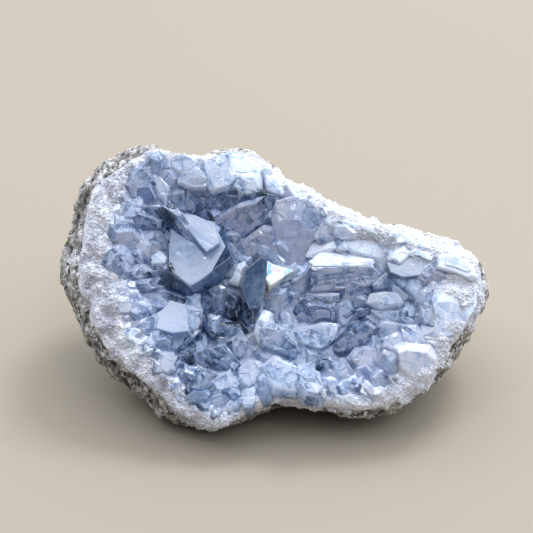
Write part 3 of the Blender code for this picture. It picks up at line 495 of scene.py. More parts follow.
    ("leftShade", 3.0, -10, -12, 0.75, 0.35, [(-30.5, 15), (-27.5, 14.5), (-24, 15.5), (-24.5, 17.5),
     (-30.5, 17.5)]),
    ("rightDark", 3.6, 6, -16, 0.75, 0.6, [(33, 0.5), (35.5, -0.5), (39.5, 0.5), (38.5, 2), (34.5, 3.5),
     (32.5, 2)]),
    ("rightWhite", 4.8, 4, 26, 0.60, 0.05, [(25.5, 2.5), (28, 1.5), (33, 2), (34.5, 5), (30.5, 6.5),
     (27.5, 4), (24.5, 5)]),
    ("rightIceA", 3.8, 4, 26, 0.15, 0.0, [(14, 8), (17, 7), (21.5, 5.5), (24, 5), (26, 7.5), (25, 9.5),
     (17.5, 11.5), (14, 11)]),
    ("rightIceB", 4.2, 8, 18, 0.15, 0.0, [(25, 5.5), (27.5, 4), (30, 6), (31, 7.5), (29, 9.5), (25.5, 7.5)]),
    ("rightKnob", 3.4, 14, 2, 0.4, 0.1, [(31, -4), (32.5, -5.5), (34.5, -3.5), (34.5, 0), (32, -1.5)]),
    ("paleFlank", 4.3, 8, 6, 0.2, 0.15, [(34.5, -3), (36, -1), (40, 0), (43.5, -1), (44.5, -4),
     (42, -8), (38.5, -11.5), (35.5, -13), (33.5, -12), (34.5, -7)]),
    ("paleLilac", 3.6, 20, -10, 0.2, 0.45, [(26.5, -14), (29, -13), (34, -13.5), (36.5, -16), (35, -19.5),
     (32.5, -21.5), (29, -22), (27, -19.5)]),
    ("paleTip", 4.1, 8, 20, 0.15, 0.1, [(36, 6.5), (35.5, 3.5), (39.5, 2.5), (43, 1), (45, 1.5), (43, 4.5),
     (39.5, 7)]),
    ("rimIceA", 4.0, 0, 18, 0.12, 0.0, [(15, 14.5), (15.5, 12.5), (19, 12), (24, 10), (27, 9.5),
     (26.5, 11.5), (21, 13.5)]),
    ("rimIceB", 4.0, 6, 24, 0.1, 0.05, [(27.5, 9.5), (31, 8), (35, 7), (37, 7.5), (33, 10), (28.5, 11.5)]),
    ("rightIceC", 3.8, 6, 20, 0.2, 0.0, [(31, 6.5), (34.5, 5), (35.5, 6.5), (32, 7.5)]),
]
largeAt = np.array([(*np.mean(row[-1], axis=0), *row[1:2], *row[4:6]) for row in largeCrystals])
largeAt[:, :3] *= mm  # u, v, height, clearness, lilac share

# bed: the milky base that every crystal grows from
bed = {
    "rings": 100,
    "spokes": 420,
    "edge": 6.3,  # how far round the section it reaches
    "height": [(0.0, 3.0), (0.3, 2.6), (0.5, 1.7), (0.80, 1.4), (0.86, 0.9), (0.89, 0.0), (0.92, -1.8)],
    "whiteFrom": [  # direction in degrees, share of the radius where the white druse begins
        (-180, 0.70), (-150, 0.72), (-125, 0.78), (-90, 0.79), (-60, 0.79), (-35, 0.77), (-15, 0.73),
        (0, 0.74), (20, 0.74), (33, 0.68), (50, 0.76), (75, 0.84), (105, 0.90), (130, 0.84), (150, 0.76),
        (180, 0.70),
    ],
    "whiteFade": 0.08,
    "below": 2.4,  # how far it lies under the large crystals' tops in the hollow
    "near": 4.0,  # how far a large crystal is felt
    "crowded": 0.6,  # how much of large crystals counts as all round
    "raisedTo": (0.86, 0.1),  # share of the radius where the large crystals stop raising it, and the fade
    "sunk": 1.2,  # how far its back lies below the rock's surface
    "leastThick": 0.5,
    "grain": [(2.4, 0.8, 41), (1.2, 0.5, 42), (0.7, 0.22, 43)],  # size across, height, seed
    "grainTo": (0.91, 0.05),
    "shades": [  # painted shade in the hollows: u, v, radius, strength
        (-8.0, -7.0, 7.5, 1.0), (-4.0, 9.0, 10.0, 0.75), (-14.0, 16.0, 8.0, 0.75),
        (-20.0, -1.0, 6.0, 0.7), (-18.0, -17.0, 6.5, 0.7), (6.0, 3.0, 8.0, 0.55),
        (10.0, -7.0, 7.0, 0.45), (17.0, -2.0, 6.0, 0.5), (18.0, -12.0, 5.0, 0.35),
        (-28.0, 0.0, 5.0, 0.3), (36.0, 1.0, 3.0, 0.4),
    ],
    "noises": {
        "fine": {"Scale": 1 / (0.7 * mm), "Detail": 3, "Roughness": 0.6},
        "patch": {"W": 6.0, "Scale": 1 / (5 * mm), "Detail": 3, "Roughness": 0.6},
        "wander": {"Scale": 1 / (4 * mm), "Detail": 3, "Roughness": 0.6},
        "lumps": {"Scale": 1 / (1.2 * mm), "Detail": 3, "Roughness": 0.7},
    },
    "ranges": {
        "sparkle": ("fine", 0.35, 0.60, 0.0, 1.0), "patches": ("patch", 0.44, 0.62, 0.0, 0.75),
        "hollow": ("shade", 0.2, 1.0, 0.0, 0.75),
    },
    "powder": ("#cfd2e1", "#f0f1f8"),
    "blue": ("#b8caee", "#e4ecfa"),
    "patches": "#92919f",
    # the painted shade's colour, where the hollow lies deep
    "hollow": "#6a82b2",
    "cleaner": (-25 * mm, 0.0, 1.0, 0.3),  # from x, to x, share of the patches at each
    "powderEdge": (1.2, 0.9, 1.3),  # how ragged the powder's edge is, and where it starts and is whole
    "fineBumps": 0.6,
    "bump": (0.8, 0.3),
    "shader": {"Roughness": 0.45, "IOR": 1.62, "Subsurface Weight": 0.4, "Subsurface Scale": 1.0,
               "Subsurface Radius": (0.8 * mm, 1.0 * mm, 1.3 * mm)},
}


def canopyAt(u, v, near):
    # height of the large crystals' tops round u, v: their mean, each weighed by its hill, and how
    # much of them there is, from 0 to 1
    away = hill(u[..., None], v[..., None], largeAt[:, 0], largeAt[:, 1], near)
    total = away.sum(axis=-1)
    height = (away @ largeAt[:, 2]) / np.maximum(total, 1e-9) - facePlane["tilt"] * v
    return height, np.clip(total / bed["crowded"], 0, 1)


def pastStart(u, v):
    # how far the share of the radius is past the place where the white druse begins
    theta = np.arctan2(v, u)
    start = np.interp(np.degrees(theta), *np.array(bed["whiteFrom"]).T)
    return np.hypot(u, v) / outlineRadius(theta) - start


def whiteAt(u, v):
    # 0 in the hollow, 1 on the white druse
    return np.clip(pastStart(u, v) / bed["whiteFade"] + 0.5, 0, 1)


def shadeAt(u, v):
    # how much painted shade the bed has at u, v: the strongest of its round shades
    return np.max([k * hill(u, v, a * mm, b * mm, r * mm) for a, b, r, k in bed["shades"]], axis=0)


def ending(share, end, fade):
    # 1 in the middle, 0 past the end
    return np.clip((end - share) / fade, 0, 1)[:, None]


bedSteps = evenSteps(0, bed["edge"], bed["rings"])
bedBare = rockGrid(bedSteps, bed["spokes"])
bedNormals = gridNormals(bedBare)
bedShare = curveThrough(rock["section"], bedSteps, False)[:, 0]
bedHeight = np.interp(bedShare, *np.array(bed["height"]).T)[:, None] * mm
bedRough = layeredNoise(bedBare, bed["grain"]) * ending(bedShare, *bed["grainTo"])
bedRough[0] = bedRough[0].mean()
bedTop = bedBare + bedNormals * (bedHeight + bedRough)[..., None]
canopy, inner = canopyAt(bedTop[..., 0], bedTop[..., 1], bed["near"] * mm)
inner = inner * ending(bedShare, *bed["raisedTo"])
bedTop[..., 2] += inner * np.maximum(canopy - bed["below"] * mm + bedRough - bedTop[..., 2], 0)
bedTop[0] = bedTop[0].mean(axis=0)
bedDepth = np.maximum(bed["sunk"] * mm, bed["leastThick"] * mm - bedHeight)
bedGrid = np.concatenate([bedTop, (bedBare - bedNormals * bedDepth[..., None])[::-1]])
bedPlaces = bedGrid[..., 0], bedGrid[..., 1]
bedValues = skinPoints(np.stack([shadeAt(*bedPlaces), whiteAt(*bedPlaces)], -1))


def druseMaterial():
    # fine-grained celestite: crushed-sugar white and bluish, with painted shade darkening it where the hollow
    # is deep
    made, tree, part = newMaterial("sugaryCelestite", bed, ("white", "shade"))
    powder = addNode(tree, "MixRGB", {0: part["sparkle"], 1: bed["powder"][0], 2: bed["powder"][1]})
    blue = addNode(tree, "MixRGB", {0: part["sparkle"], 1: bed["blue"][0], 2: bed["blue"][1]})
    # the grey patches are fewer on the right
    side = addNode(tree, "SeparateXYZ", {0: part["where"]})
    side = addNode(tree, "MapRange", {0: side, **dict(enumerate(bed["cleaner"], 1))})
    patches = addNode(tree, "Math", {0: part["patches"], 1: side}, operation="MULTIPLY")
    powder = addNode(tree, "MixRGB", {0: patches, 1: powder, 2: bed["patches"]})
    ragged, starts, whole = bed["powderEdge"]
    edge = addNode(tree, "Math", {0: part["wander"], 1: ragged, 2: part["white"]}, operation="MULTIPLY_ADD")
    edge = addNode(tree, "MapRange", {0: edge, 1: starts, 2: whole})
    colour = addNode(tree, "MixRGB", {0: edge, 1: blue, 2: powder})
    # painted shade: the colour is darkened towards the hollow colour by the shade
    colour = addNode(tree, "MixRGB", {0: part["hollow"], 1: colour, 2: bed["hollow"]})
    height = addNode(tree, "Math", {0: part["fine"], 1: bed["fineBumps"], 2: part["lumps"]},
                     operation="MULTIPLY_ADD")
    finishMaterial(tree, colour, height, bed["bump"], bed["shader"])
    return made


druse = druseMaterial()
bedMesh = newMesh("crystalBed", skinPoints(placed(bedGrid)), skinFaces(len(bedGrid), bed["spokes"]),
                  {"shade": bedValues[:, 0], "white": bedValues[:, 1]})
crystalBed = buildPiece("crystalBed", bedMesh, druse, smooth=True)
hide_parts("crystal_crust")

# the bed's top as quads in face coordinates, millimetres, for finding its height
quads = np.arange(bed["rings"] * bed["spokes"]).reshape(bed["rings"], -1)
quads = np.stack([quads[:-1], quads[1:], np.roll(quads, -1, 1)[1:], np.roll(quads, -1, 1)[:-1]], -1)
bedTree = BVHTree.FromPolygons((bedTop.reshape(-1, 3) / mm).tolist(), quads.reshape(-1, 4).tolist())

# crystals
crystals = {
    "seed": 7,
    "clearFrom": 0.28,  # those clearer than this are one piece, and the milky ones another
    "tone": [(0.0, 1.0), (0.3, 0.86), (0.55, 0.72), (0.85, 0.5), (1.0, 0.18)],  # clearness, tone
    "paler": (16, 26, 0.28),  # from u, to u, added to the tone on the right
    "lowLeftShade": (-17, -15, 9, 0.22),  # u, v, radius, painted shade taken off the tone low on the left
    "whitest": 0.85,
    "shift": 60,  # how far apart two crystals' patterns may be taken from
    "wornFrom": math.radians(18),  # angle from which an edge is worn
}


def crystalSkins(origins, axes, profiles, levels):
    # point (crystal, level, corner) = origin + (x scale * corner x + x shift) * axis x
    # + (y scale * corner y + y shift) * axis y + height * axis z: a cross-section is carried along
    # the axis, scaled and pushed aside as it goes
    x = profiles[:, None, :, 0] * levels[:, :, None, 0] + levels[:, :, None, 3]
    y = profiles[:, None, :, 1] * levels[:, :, None, 1] + levels[:, :, None, 4]
    z = np.broadcast_to(levels[:, :, None, 2], x.shape)
    local = np.stack([x, y, z], axis=-1)
    return origins[:, None, None] + np.einsum("nlkc,ncd->nlkd", local, axes), local


def crystalFaces(count, levels, corners):
    # the sides between levels, and one face at each end
    index = np.arange(count * levels * corners).reshape(count, levels, corners)
    beside = np.roll(index, -1, axis=2)
    sides = np.stack([index[:, :-1], beside[:, :-1], beside[:, 1:], index[:, 1:]], -1).reshape(-1, 4)
    return sides.tolist() + index[:, -1].tolist() + index[:, 0, ::-1].tolist()


def pointValues(value, shape):
    # one for each crystal, or one for each crystal and level, given to every point of it
    value = np.asarray(value, float)
    value = value[..., None] if value.ndim == 2 else value.reshape(-1, 1, 1)
    return np.broadcast_to(value, shape).reshape(shape[0], -1)


def levelTable(*levels):
    # each level's x scale, y scale, height, x shift and y shift, as (crystal, level, 5)
    return np.stack([np.stack(np.broadcast_arrays(*level), -1) for level in levels], axis=1)


rng = np.random.default_rng(crystals["seed"])
grown = {}
for kind in ("clear", "milky"):
    grown[kind] = bpy.data.collections.new(kind)
    bpy.context.scene.collection.children.link(grown[kind])


def growCrystals(origins, axes, profiles, levels, edge, **values):
    # each crystal is a closed solid of its own, with its edges worn, until all are joined
    points, local = crystalSkins(origins, axes, profiles, levels)
    shape = points.shape[:3]
    faces = crystalFaces(1, *shape[1:])
    corners = np.concatenate([np.array(face) for face in faces])
    clear = pointValues(values["clearness"], shape)[:, 0] > crystals["clearFrom"]
    columns = {key: pointValues(value, shape) for key, value in values.items()}
    shift = rng.uniform(-crystals["shift"], crystals["shift"], (shape[0], 1, 1, 3)) * mm
    columns["grow"] = (local + shift).reshape(shape[0], -1, 3)
    points = placed(points.reshape(-1, 3)).reshape(shape[0], -1, 3)
    for i in range(shape[0]):
        own = {key: column[i][corners] for key, column in columns.items()}
        mesh = newMesh("crystal", points[i], faces, own, "CORNER")
        mesh.materials.append(None)
        mesh.materials.append(None)  # a second slot, by which the worn edges are known later
        # facetLight: a random brightness for each face, painted in place of the light each face reflects from
        # inside
        facetLight = mesh.attributes.new("facetLight", "FLOAT", "FACE")
        facetLight.data.foreach_set("value", rng.uniform(size=len(faces)).astype(np.float32))
        crystal = bpy.data.objects.new("crystal", mesh)
        worn = crystal.modifiers.new("wornEdges", "BEVEL")
        worn.width, worn.segments, worn.limit_method, worn.material = edge, 1, "ANGLE", 1
        worn.angle_limit = crystals["wornFrom"]
        grown["clear" if clear[i] else "milky"].objects.link(crystal)


def joinCrystals(kind, name):
    # the union of all of a kind: crystals that grew into each other have no wall between them
    rest = list(grown[kind].objects)
    first = rest.pop(0)
    grown[kind].objects.unlink(first)
    bpy.context.scene.collection.objects.link(first)
    join = first.modifiers.new("join", "BOOLEAN")
    join.operation, join.operand_type, join.collection = "UNION", "COLLECTION", grown[kind]
    join.solver = "MANIFOLD"
    mesh = bpy.data.meshes.new_from_object(first.evaluated_get(bpy.context.evaluated_depsgraph_get()))
    mesh.name = name
    for crystal in (first, *rest):
        bpy.data.meshes.remove(crystal.data)
    bpy.data.collections.remove(grown[kind])
    # the worn edges' faces are kept as rim, on which the material paints a highlight
    slot = np.zeros(len(mesh.polygons), np.int32)
    mesh.polygons.foreach_get("material_index", slot)
    rim = mesh.attributes.new("rim", "FLOAT", "FACE")
    rim.data.foreach_set("value", slot.astype(np.float32))
    mesh.polygons.foreach_set("material_index", np.zeros(len(slot), np.int32))
    print(name, "worn edges", int(slot.sum()), "of", len(slot), "faces")
    return mesh


def toneOf(clearness, u, v):
    # how bright the inside looks, from 0 for the deepest blue to 1 for white: paler on the right,
    # darkened low on the left by painted shade, and never so white that no clouds are seen in it
    a, b, r, less = crystals["lowLeftShade"]
    tone = np.interp(clearness, *np.array(crystals["tone"]).T) - less * hill(u, v, a * mm, b * mm, r * mm)
    low, high, more = crystals["paler"]
    return np.minimum(tone + np.interp(u, (low * mm, high * mm), (0.0, more)), crystals["whitest"])


# ones whose top face is one flat plane, as cleaved; the others have facets cut round the top
flatTopped = {"table", "plate", "hexagon", "shelfTop", "rightWhite", "rainbow", "leftWindow", "spire",
              "tableWall", "tableBar"}
# painted shade on the walls of these, in place of the usual amount
shadedSides = {"table": 1.0, "plate": 0.8, "spire": 0.7, "hexagon": 0.6, "strip": 0.8, "shelfFront": 0.5}
ribbed = {"table": 0.05, "hexagon": 0.1, "plate": 0.6, "shelfFront": 1.0, "shelfTop": 0.8, "strip": 1.0,
          "hexagonFoot": 0.8, "darkBeam": 0.6, "wallE": 1.0, "purpleCleft": 0.6, "leftBands": 1.0,
          "lowerBeam": 0.5, "speckled": 0.8}
smoothFaced = {"table": 0.1, "paleFlank": 0.3, "paleLilac": 0.4, "paleTip": 0.3, "rimIceA": 0.5,
               "tableWall": 0.3, "tableBar": 0.3, "plate": 0.1, "hexagon": 0.1, "spire": 0.2,
               "purpleMass": 0.4, "rightWhite": 0.2, "leftWindow": 0.1}
large = {
    "above": (1.5, 0.4),  # least height of a top over the bed, in the hollow and on the white druse
    "sunk": 1.5,  # how far the root goes into the bed
    "longest": 14.0,
    "chamfer": (0.12, 0.3),  # width of the bevelled edge round a flat top
    "chamferDrop": (0.6, 1.1),  # how far it goes down, for its width
    "cut": (0.10, 0.42),  # share of the width that the facets round the other tops take
    "cutDrop": (0.5, 1.0),  # how far they go down, for their width
    "cutAside": (0.3, 0.9),  # how far they push the top towards one corner, for their width
    "crown": 0.12,  # how far the top rises over its middle, for the facets' height
    "foot": 0.96,  # width at the root
    "shoulder": 1.04,  # width below the facets
    "worn": (0.1, 0.25, 0.6),  # wear of the edges, the milkier ones' wear, clearness between them
    "toneVaries": 0.06,
    "ribs": (0.1, 0.3),  # least, and how far it varies
    "broken": 0.8,
    "dark": (0.1, 0.55),  # painted shade on the walls for a milky one, and how much more for a clear one
    "terraces": 0.3,  # share of the other crystals that carry a growth step
    # a growth step, whose dark is painted shade on its walls
    "terrace": {"width": (0.45, 0.8), "rise": (0.15, 0.4), "side": 0.9, "depth": 0.3, "top": 0.96,
                "shoulder": 0.6, "worn": 0.05, "dark": 0.1},
}


def faceFrames(normals, turns):
    # three axes for each crystal: z along its normal, x and y across it, turned about it
    z = normals / np.linalg.norm(normals, axis=-1, keepdims=True)
    x = np.cross(np.array([0.0, 1.0, 0.0]), z)
    x /= np.linalg.norm(x, axis=-1, keepdims=True)
    y = np.cross(z, x)
    c, s = np.cos(turns)[:, None], np.sin(turns)[:, None]
    return np.stack([c * x + s * y, c * y - s * x, z], axis=1)


def bedHit(u, v):
    # where the bed is at u, v, and its slope there
    return bedTree.ray_cast(Vector((u / mm, v / mm, 60)), Vector((0, 0, -1)))


def bedAt(u, v):
    hit = bedHit(u, v)
    return hit[0].z * mm if hit[0] is not None else 0.0


def depthBelow(point, down):
    # millimetres from a point to the bed, going down
    hit = bedTree.ray_cast(Vector(point / mm), Vector(down))
    return hit[3] if hit[0] is not None else 4.0


for name, height, right, up, clearness, lilac, corners in largeCrystals:
    corners = np.array(corners, float) * mm
    after = np.roll(corners, -1, axis=0)
    if np.sum(corners[:, 0] * after[:, 1] - corners[:, 1] * after[:, 0]) < 0:
        corners = corners[::-1]
    middle = corners.mean(axis=0)
    slope = np.tan(np.radians([right, up]))
    above = np.interp(whiteAt(*middle), (0, 1), large["above"])
    level = max(height * mm - facePlane["tilt"] * middle[1], bedAt(*middle) + above * mm)
    top = np.c_[corners, level - (corners - middle) @ slope]
    centre = np.r_[middle, level]
    longWay = np.linalg.svd(corners - middle)[2][0]
    axes = faceFrames(np.array([[*slope, 1.0]]), np.array([math.atan2(longWay[1], longWay[0])]))
    profile = ((top - centre) @ axes[0].T)[None, :, :2]
    reach = max(depthBelow(p, -axes[0, 2]) for p in (*top, centre))
    reach = min(reach + large["sunk"], large["longest"]) * mm
    size = np.linalg.norm(profile[0], axis=1).mean()
    varies = rng.uniform(-large["toneVaries"], large["toneVaries"])
    look = {"clearness": clearness, "tone": toneOf(clearness, *middle) + varies, "lilac": lilac,
            "ribs": ribbed.get(name, large["ribs"][0] + large["ribs"][1] * rng.uniform()),
            "broken": smoothFaced.get(name, large["broken"]), "glint": float(name == "rainbow")}
    # painted shade on the walls, none on the top face
    dark = shadedSides.get(name, large["dark"][0] + large["dark"][1] * clearness)
    foot, shoulder = large["foot"], large["shoulder"]
    if name in flatTopped:
        chamfer = rng.uniform(*large["chamfer"]) * mm
        inset = 1 - chamfer / size
        levels = [(foot, foot, -reach, 0, 0), (1, 1, -chamfer * rng.uniform(*large["chamferDrop"]), 0, 0),
                  (inset, inset, 0, 0, 0)]
    else:
        cutX, cutY = rng.uniform(*large["cut"], 2)
        drop = size * (cutX + cutY) / 2 * rng.uniform(*large["cutDrop"])
        push = profile[0, rng.integers(len(corners))] * rng.uniform(*large["cutAside"]) * (cutX + cutY) / 2
        levels = [(foot, foot, -reach, 0, 0), (shoulder, shoulder, -drop, 0, 0),
                  (1 - cutX, 1 - cutY, large["crown"] * drop, *push)]
        inset = 1 - max(cutX, cutY)
    worn, wornMilky, milkyTo = large["worn"]
    growCrystals(centre[None], axes, profile, np.array([levels], float),
                 (wornMilky if clearness < milkyTo else worn) * mm, wall=[[dark, dark, 0]], **look)
    if rng.uniform() < large["terraces"] and name not in flatTopped:
        step = large["terrace"]
        corner = profile[0, rng.integers(len(corners))] * step["side"] * inset
        outline = corner + (profile * inset - corner) * rng.uniform(*step["width"])
        rise = rng.uniform(*step["rise"]) * mm
        levels = [(1, 1, -step["depth"] * mm, 0, 0), (1, 1, rise * step["shoulder"], 0, 0),
                  (step["top"], step["top"], rise, 0, 0)]
        growCrystals(centre[None], axes, outline, np.array([levels], float), step["worn"] * mm,
                     wall=[[dark / 2, step["dark"], 0]], **look)
print("large crystals", len(largeCrystals))


def insideAny(u, v, shapes):
    # whether the point lies in any of the shapes: a ray to the right crosses its outline an odd
    # number of times
    for shape in shapes:
        a, b = shape, np.roll(shape, -1, axis=0)
        between = (a[:, 1] > v) != (b[:, 1] > v)
        with np.errstate(divide="ignore", invalid="ignore"):
            crossing = a[:, 0] + (v - a[:, 1]) * (b[:, 0] - a[:, 0]) / (b[:, 1] - a[:, 1])
        if np.sum(between & (u < crossing)) % 2:
            return True
    return False


fill = {
    "tries": 16000,
    "reach": 0.86,  # square of the share of the radius that they reach
    "size": [(0.0, 3.0), (0.55, 2.9), (0.75, 2.4), (0.84, 1.3), (0.92, 0.7)],  # by share: half width
    "spread": 0.4,
    "onWhite": (0.6, 0.5),  # how much smaller and lower they are on the white druse
    "apart": 0.40,  # share of two crystals' half widths that is kept between their middles
    "clear": 1.05,  # how much wider the large crystals count, for keeping out of them
    "near": 4.5,  # how far a large crystal's height and finish are felt
    "below": (0.2, 2.2),  # how far the tops stay under the large crystals round them
    "height": (0.45, 0.65, 0.3),  # for the half width: least, away from the large ones, how it varies
    "lean": 30.0,
    "followsBed": (0.4, 0.6),  # steepest bed that they follow, and how much less in a crowd
    "varies": 0.12,  # clearness and lilac share
    "chisels": 0.4,  # share with a ridge, the others being blocks
    "chisel": ((0.45, 0.8), (0.05, 0.2), (0.5, 0.9)),  # the ridge's length, its width, how far it falls
    "block": ((0.75, 0.92), (0.6, 0.9), (0.1, 0.35)),
    "aside": 0.5,  # how far the ridge may lie off the middle
    "past": 0.04,  # how far they go on past the start of the white druse, as a share of the radius
    "corners": 7,
    "uneven": (0.32, 0.85, 1.15),  # how far a corner turns aside, and how far in or out it lies
    "long": (0.95, 1.5),
    "wide": (0.7, 1.05),
    "foot": 1.25,  # how much wider they are at the foot
    "root": 1.2,
    "worn": 0.07,
    "toneVaries": 0.1,
    "ribs": (0.0, 0.5),
    "broken": (0.3, 1.0),
    "dark": (0.5, 0.3, 0.0),  # painted shade on the walls at the foot, the shoulder and the top
    "darkFrom": (0.4, 0.2),  # clearness with the whole of that, and the least share of it
    "zones": [  # away from the large ones: u, v, radius, size, clearness, lilac
        (-14, 27, 6, 1.3, 0.45, 0.0), (-31, 8, 6, 0.6, 0.5, 0.45), (-31, -5, 6, 0.55, 0.5, 0.5),
        (-22, -21, 6, 0.9, 1.0, 0.45), (-33, 19, 4, 0.8, 0.3, 0.35), (0, -24, 7, 1.0, 0.55, 0.1),
        (20, -21, 7, 1.3, 0.45, 0.4), (33, -14, 5, 1.2, 0.25, 0.25), (37, -5, 5, 0.9, 0.05, 0.0),
        (21, 11, 7, 1.1, 0.12, 0.0), (37, 5, 5, 0.8, 0.05, 0.05), (-12, -25, 6, 1.0, 0.8, 0.2),
        (2, 22, 4, 0.9, 0.1, 0.05), (12, 16, 4, 0.8, 0.05, 0.0),
    ],
    "low": [(-13, 1, 3.5, 3.5), (-4, -12, 3, 1.5), (-10, -6, 4, 2.0)],  # u, v, radius, further down
}
finishes = np.concatenate([
    np.c_[largeAt[:, :2] / mm, np.full(len(largeAt), fill["near"]), np.ones(len(largeAt)),
          largeAt[:, 3:]], np.array(fill["zones"], float)])
largeShapes = [np.array(row[-1], float) * mm for row in largeCrystals]
largeShapes = [c.mean(axis=0) + (c - c.mean(axis=0)) * fill["clear"] for c in largeShapes]
taken = np.zeros((0, 3))
fills = []
for _ in range(fill["tries"]):
    theta, share = rng.uniform(-math.pi, math.pi), math.sqrt(rng.uniform(0, fill["reach"]))
    grow, lean1, lean2, turn, drop = rng.uniform(-1, 1, 5)
    radius = share * float(outlineRadius(theta))
    u, v = radius * math.cos(theta), radius * math.sin(theta)
    near = hill(u / mm, v / mm, *finishes[:, :3].T)
    near = near / max(near.sum(), 1e-9)
    bigger, clearness, lilac = near @ finishes[:, 3:]
    white = float(whiteAt(u, v))
    half = np.interp(share, *np.array(fill["size"]).T) * bigger * (1 - fill["onWhite"][0] * white)
    half *= (1 + fill["spread"] * grow) * mm
    if (np.hypot(taken[:, 0] - u, taken[:, 1] - v) < fill["apart"] * (taken[:, 2] + half)).any():
        continue
    if insideAny(u, v, largeShapes) or pastStart(u, v) > fill["past"] * (1 + 0.5 * drop):
        continue
    hit = bedHit(u, v)
    if hit[0] is None:
        continue
    taken = np.vstack([taken, (u, v, half)])
    base, normal = hit[0].z * mm, np.array(hit[1])
    normal = normal * math.copysign(1, normal[2])
    canopy, inner = canopyAt(np.array(u), np.array(v), fill["near"] * mm)
    canopy -= np.interp(drop, (-1, 1), fill["below"]) * mm
    canopy -= sum(d * mm * hill(u / mm, v / mm, a, b, r) for a, b, r, d in fill["low"])
    least, usual, varies = fill["height"]
    lower = 1 - fill["onWhite"][1] * white
    alone = base + (usual + varies * drop) * lower * half
    top = max(base + least * lower * half, inner * canopy + (1 - inner) * alone)
    clearness = clearness * (1 - white) + fill["varies"] * lean1
    lilac = lilac * lower + fill["varies"] * lean2
    steepest, crowdLess = fill["followsBed"]
    slope = normal[:2] / max(normal[2], steepest) * (1 - crowdLess * inner)
    slope = slope + np.tan(np.radians(fill["lean"])) * np.array([lean1, lean2])
    fills.append((u, v, top, half, slope[0], slope[1], turn * math.pi, top - base, clearness, lilac))
fills = np.array(fills)
print("smaller crystals", len(fills))

count, around = len(fills), fill["corners"]
half, deep, clearness = fills[:, 3], fills[:, 7] + fill["root"] * mm, fills[:, 8]
turned, inside, outside = fill["uneven"]
angles = (np.arange(around) + rng.uniform(-turned, turned, (count, around))) * 2 * math.pi / around
profiles = np.stack([np.cos(angles), np.sin(angles)], -1) * half[:, None, None]
profiles *= rng.uniform(inside, outside, (count, around, 1))
profiles *= np.stack([rng.uniform(*fill["long"], count), rng.uniform(*fill["wide"], count)], -1)[:, None]
chisel = rng.uniform(size=count) < fill["chisels"]
ridgeX, ridgeY, falls = (np.where(chisel, rng.uniform(*ridge, count), rng.uniform(*block, count))
                         for ridge, block in zip(fill["chisel"], fill["block"]))
falls = falls * half
aside = rng.uniform(-fill["aside"], fill["aside"], count) * (1 - ridgeY) * half
levels = levelTable((fill["foot"], fill["foot"], -deep - falls, 0, 0), (1, 1, -falls, 0, 0),
                    (ridgeX, ridgeY, 0, 0, aside))
axes = faceFrames(np.c_[fills[:, 4:6], np.ones(count)], fills[:, 6])
varies = rng.uniform(-fill["toneVaries"], fill["toneVaries"], count)
# painted shade on the walls of the smaller crystals, darkest at the foot and less on the milkier ones
whole, least = fill["darkFrom"]
growCrystals(fills[:, :3], axes, profiles, levels, fill["worn"] * mm, clearness=np.clip(clearness, 0, 1),
             tone=toneOf(clearness, fills[:, 0], fills[:, 1]) + varies, lilac=np.clip(fills[:, 9], 0, 1),
             ribs=rng.uniform(*fill["ribs"], count), broken=rng.uniform(*fill["broken"], count),
             glint=np.zeros(count), wall=np.clip(clearness / whole, least, 1)[:, None] * fill["dark"])

celestite = {
    "place": "grow",  # the mesh's own place in the crystal
    "noises": {
        "cloud": {"Scale": 1 / (9 * mm), "Detail": 4},
        "wisps": {"W": 7.0, "Scale": 1 / (3 * mm), "Detail": 3, "Distortion": 1.5},
        "ripple": {"Scale": 1 / (3.6 * mm)},
        "pitted": {"W": 3.0, "Scale": 1 / (1.0 * mm), "Detail": 4, "Roughness": 0.7, "Distortion": 0.6},
        "speck": {"Scale": 1 / (0.6 * mm), "Detail": 1},
        "vein": {"W": 11.0, "Scale": 1 / (5 * mm), "Distortion": 0.8},
        "bands": {"W": 4.0, "Scale": 1 / (3 * mm)},
    },
    "ranges": {"flecks": ("speck", 0.64, 0.72, 0.0, 0.6)},
    "lines": {"Scale": 1 / (0.9 * mm), "Roughness": 0.6},
    "alongFace": (0.10, 1.0, 1.0),
    "cells": {"Scale": 1 / (2.4 * mm), "Smoothness": 0.12},
    "veins": (0.0, 0.02, 0.4, 0.0),  # from the middle of a vein, to its side, brightness at each
    "usual": 0.89,  # what the facets, clouds and wisps add on an average
    # wall takes painted shade off the walls' tone
    "adds": {  # what each adds to the tone
        # facetLight adds painted light, a brightness of its own, to each face
        "facetLight": 0.38, "cloud": 1.1, "wisps": 0.5, "stripes": 1.6, "wall": -0.4, "planes": 0.55 / mm,
        "grain": 1.3, "marks": 1.0,
    },
    "ribDepth": (1.1, 0.1),  # of the growth lines: for a ribbed crystal, and on every face
    "relief": {"ripple": 0.9, "planes": 3.0 / mm, "grain": 1.2},
    "bump": (0.5, 0.25),
    "tones": ["#182739", "#506b8d", "#8fa8ca", "#c2d4ec", "#e3eaf7"],  # from the deepest blue to white
    "spectrum": ["#e8edfb", "#f3c4dd", "#f6f2f8", "#8fd6f2", "#f4e3b0", "#f7f8fd"],
    "stops": {"tones": (0.0, 0.25), "spectrum": (0.36, 0.05)},  # first, step
    "lilac": "#fff2f6",
    "absorbs": (0.60, 0.78, 0.96, 1),
    "density": 40.0,
    "shader": {"IOR": 1.62, "Subsurface Weight": 0.15, "Subsurface Scale": 1.0,
               "Subsurface Radius": (0.9 * mm, 1.2 * mm, 1.7 * mm)},
    # the painted highlight on the worn edges, with the share of the light let through and the roughness
    "clear": (0.2, {"Transmission Weight": 0.6, "Roughness": 0.02}),
    "milky": (0.15, {"Transmission Weight": 0.2, "Roughness": 0.22}),
}


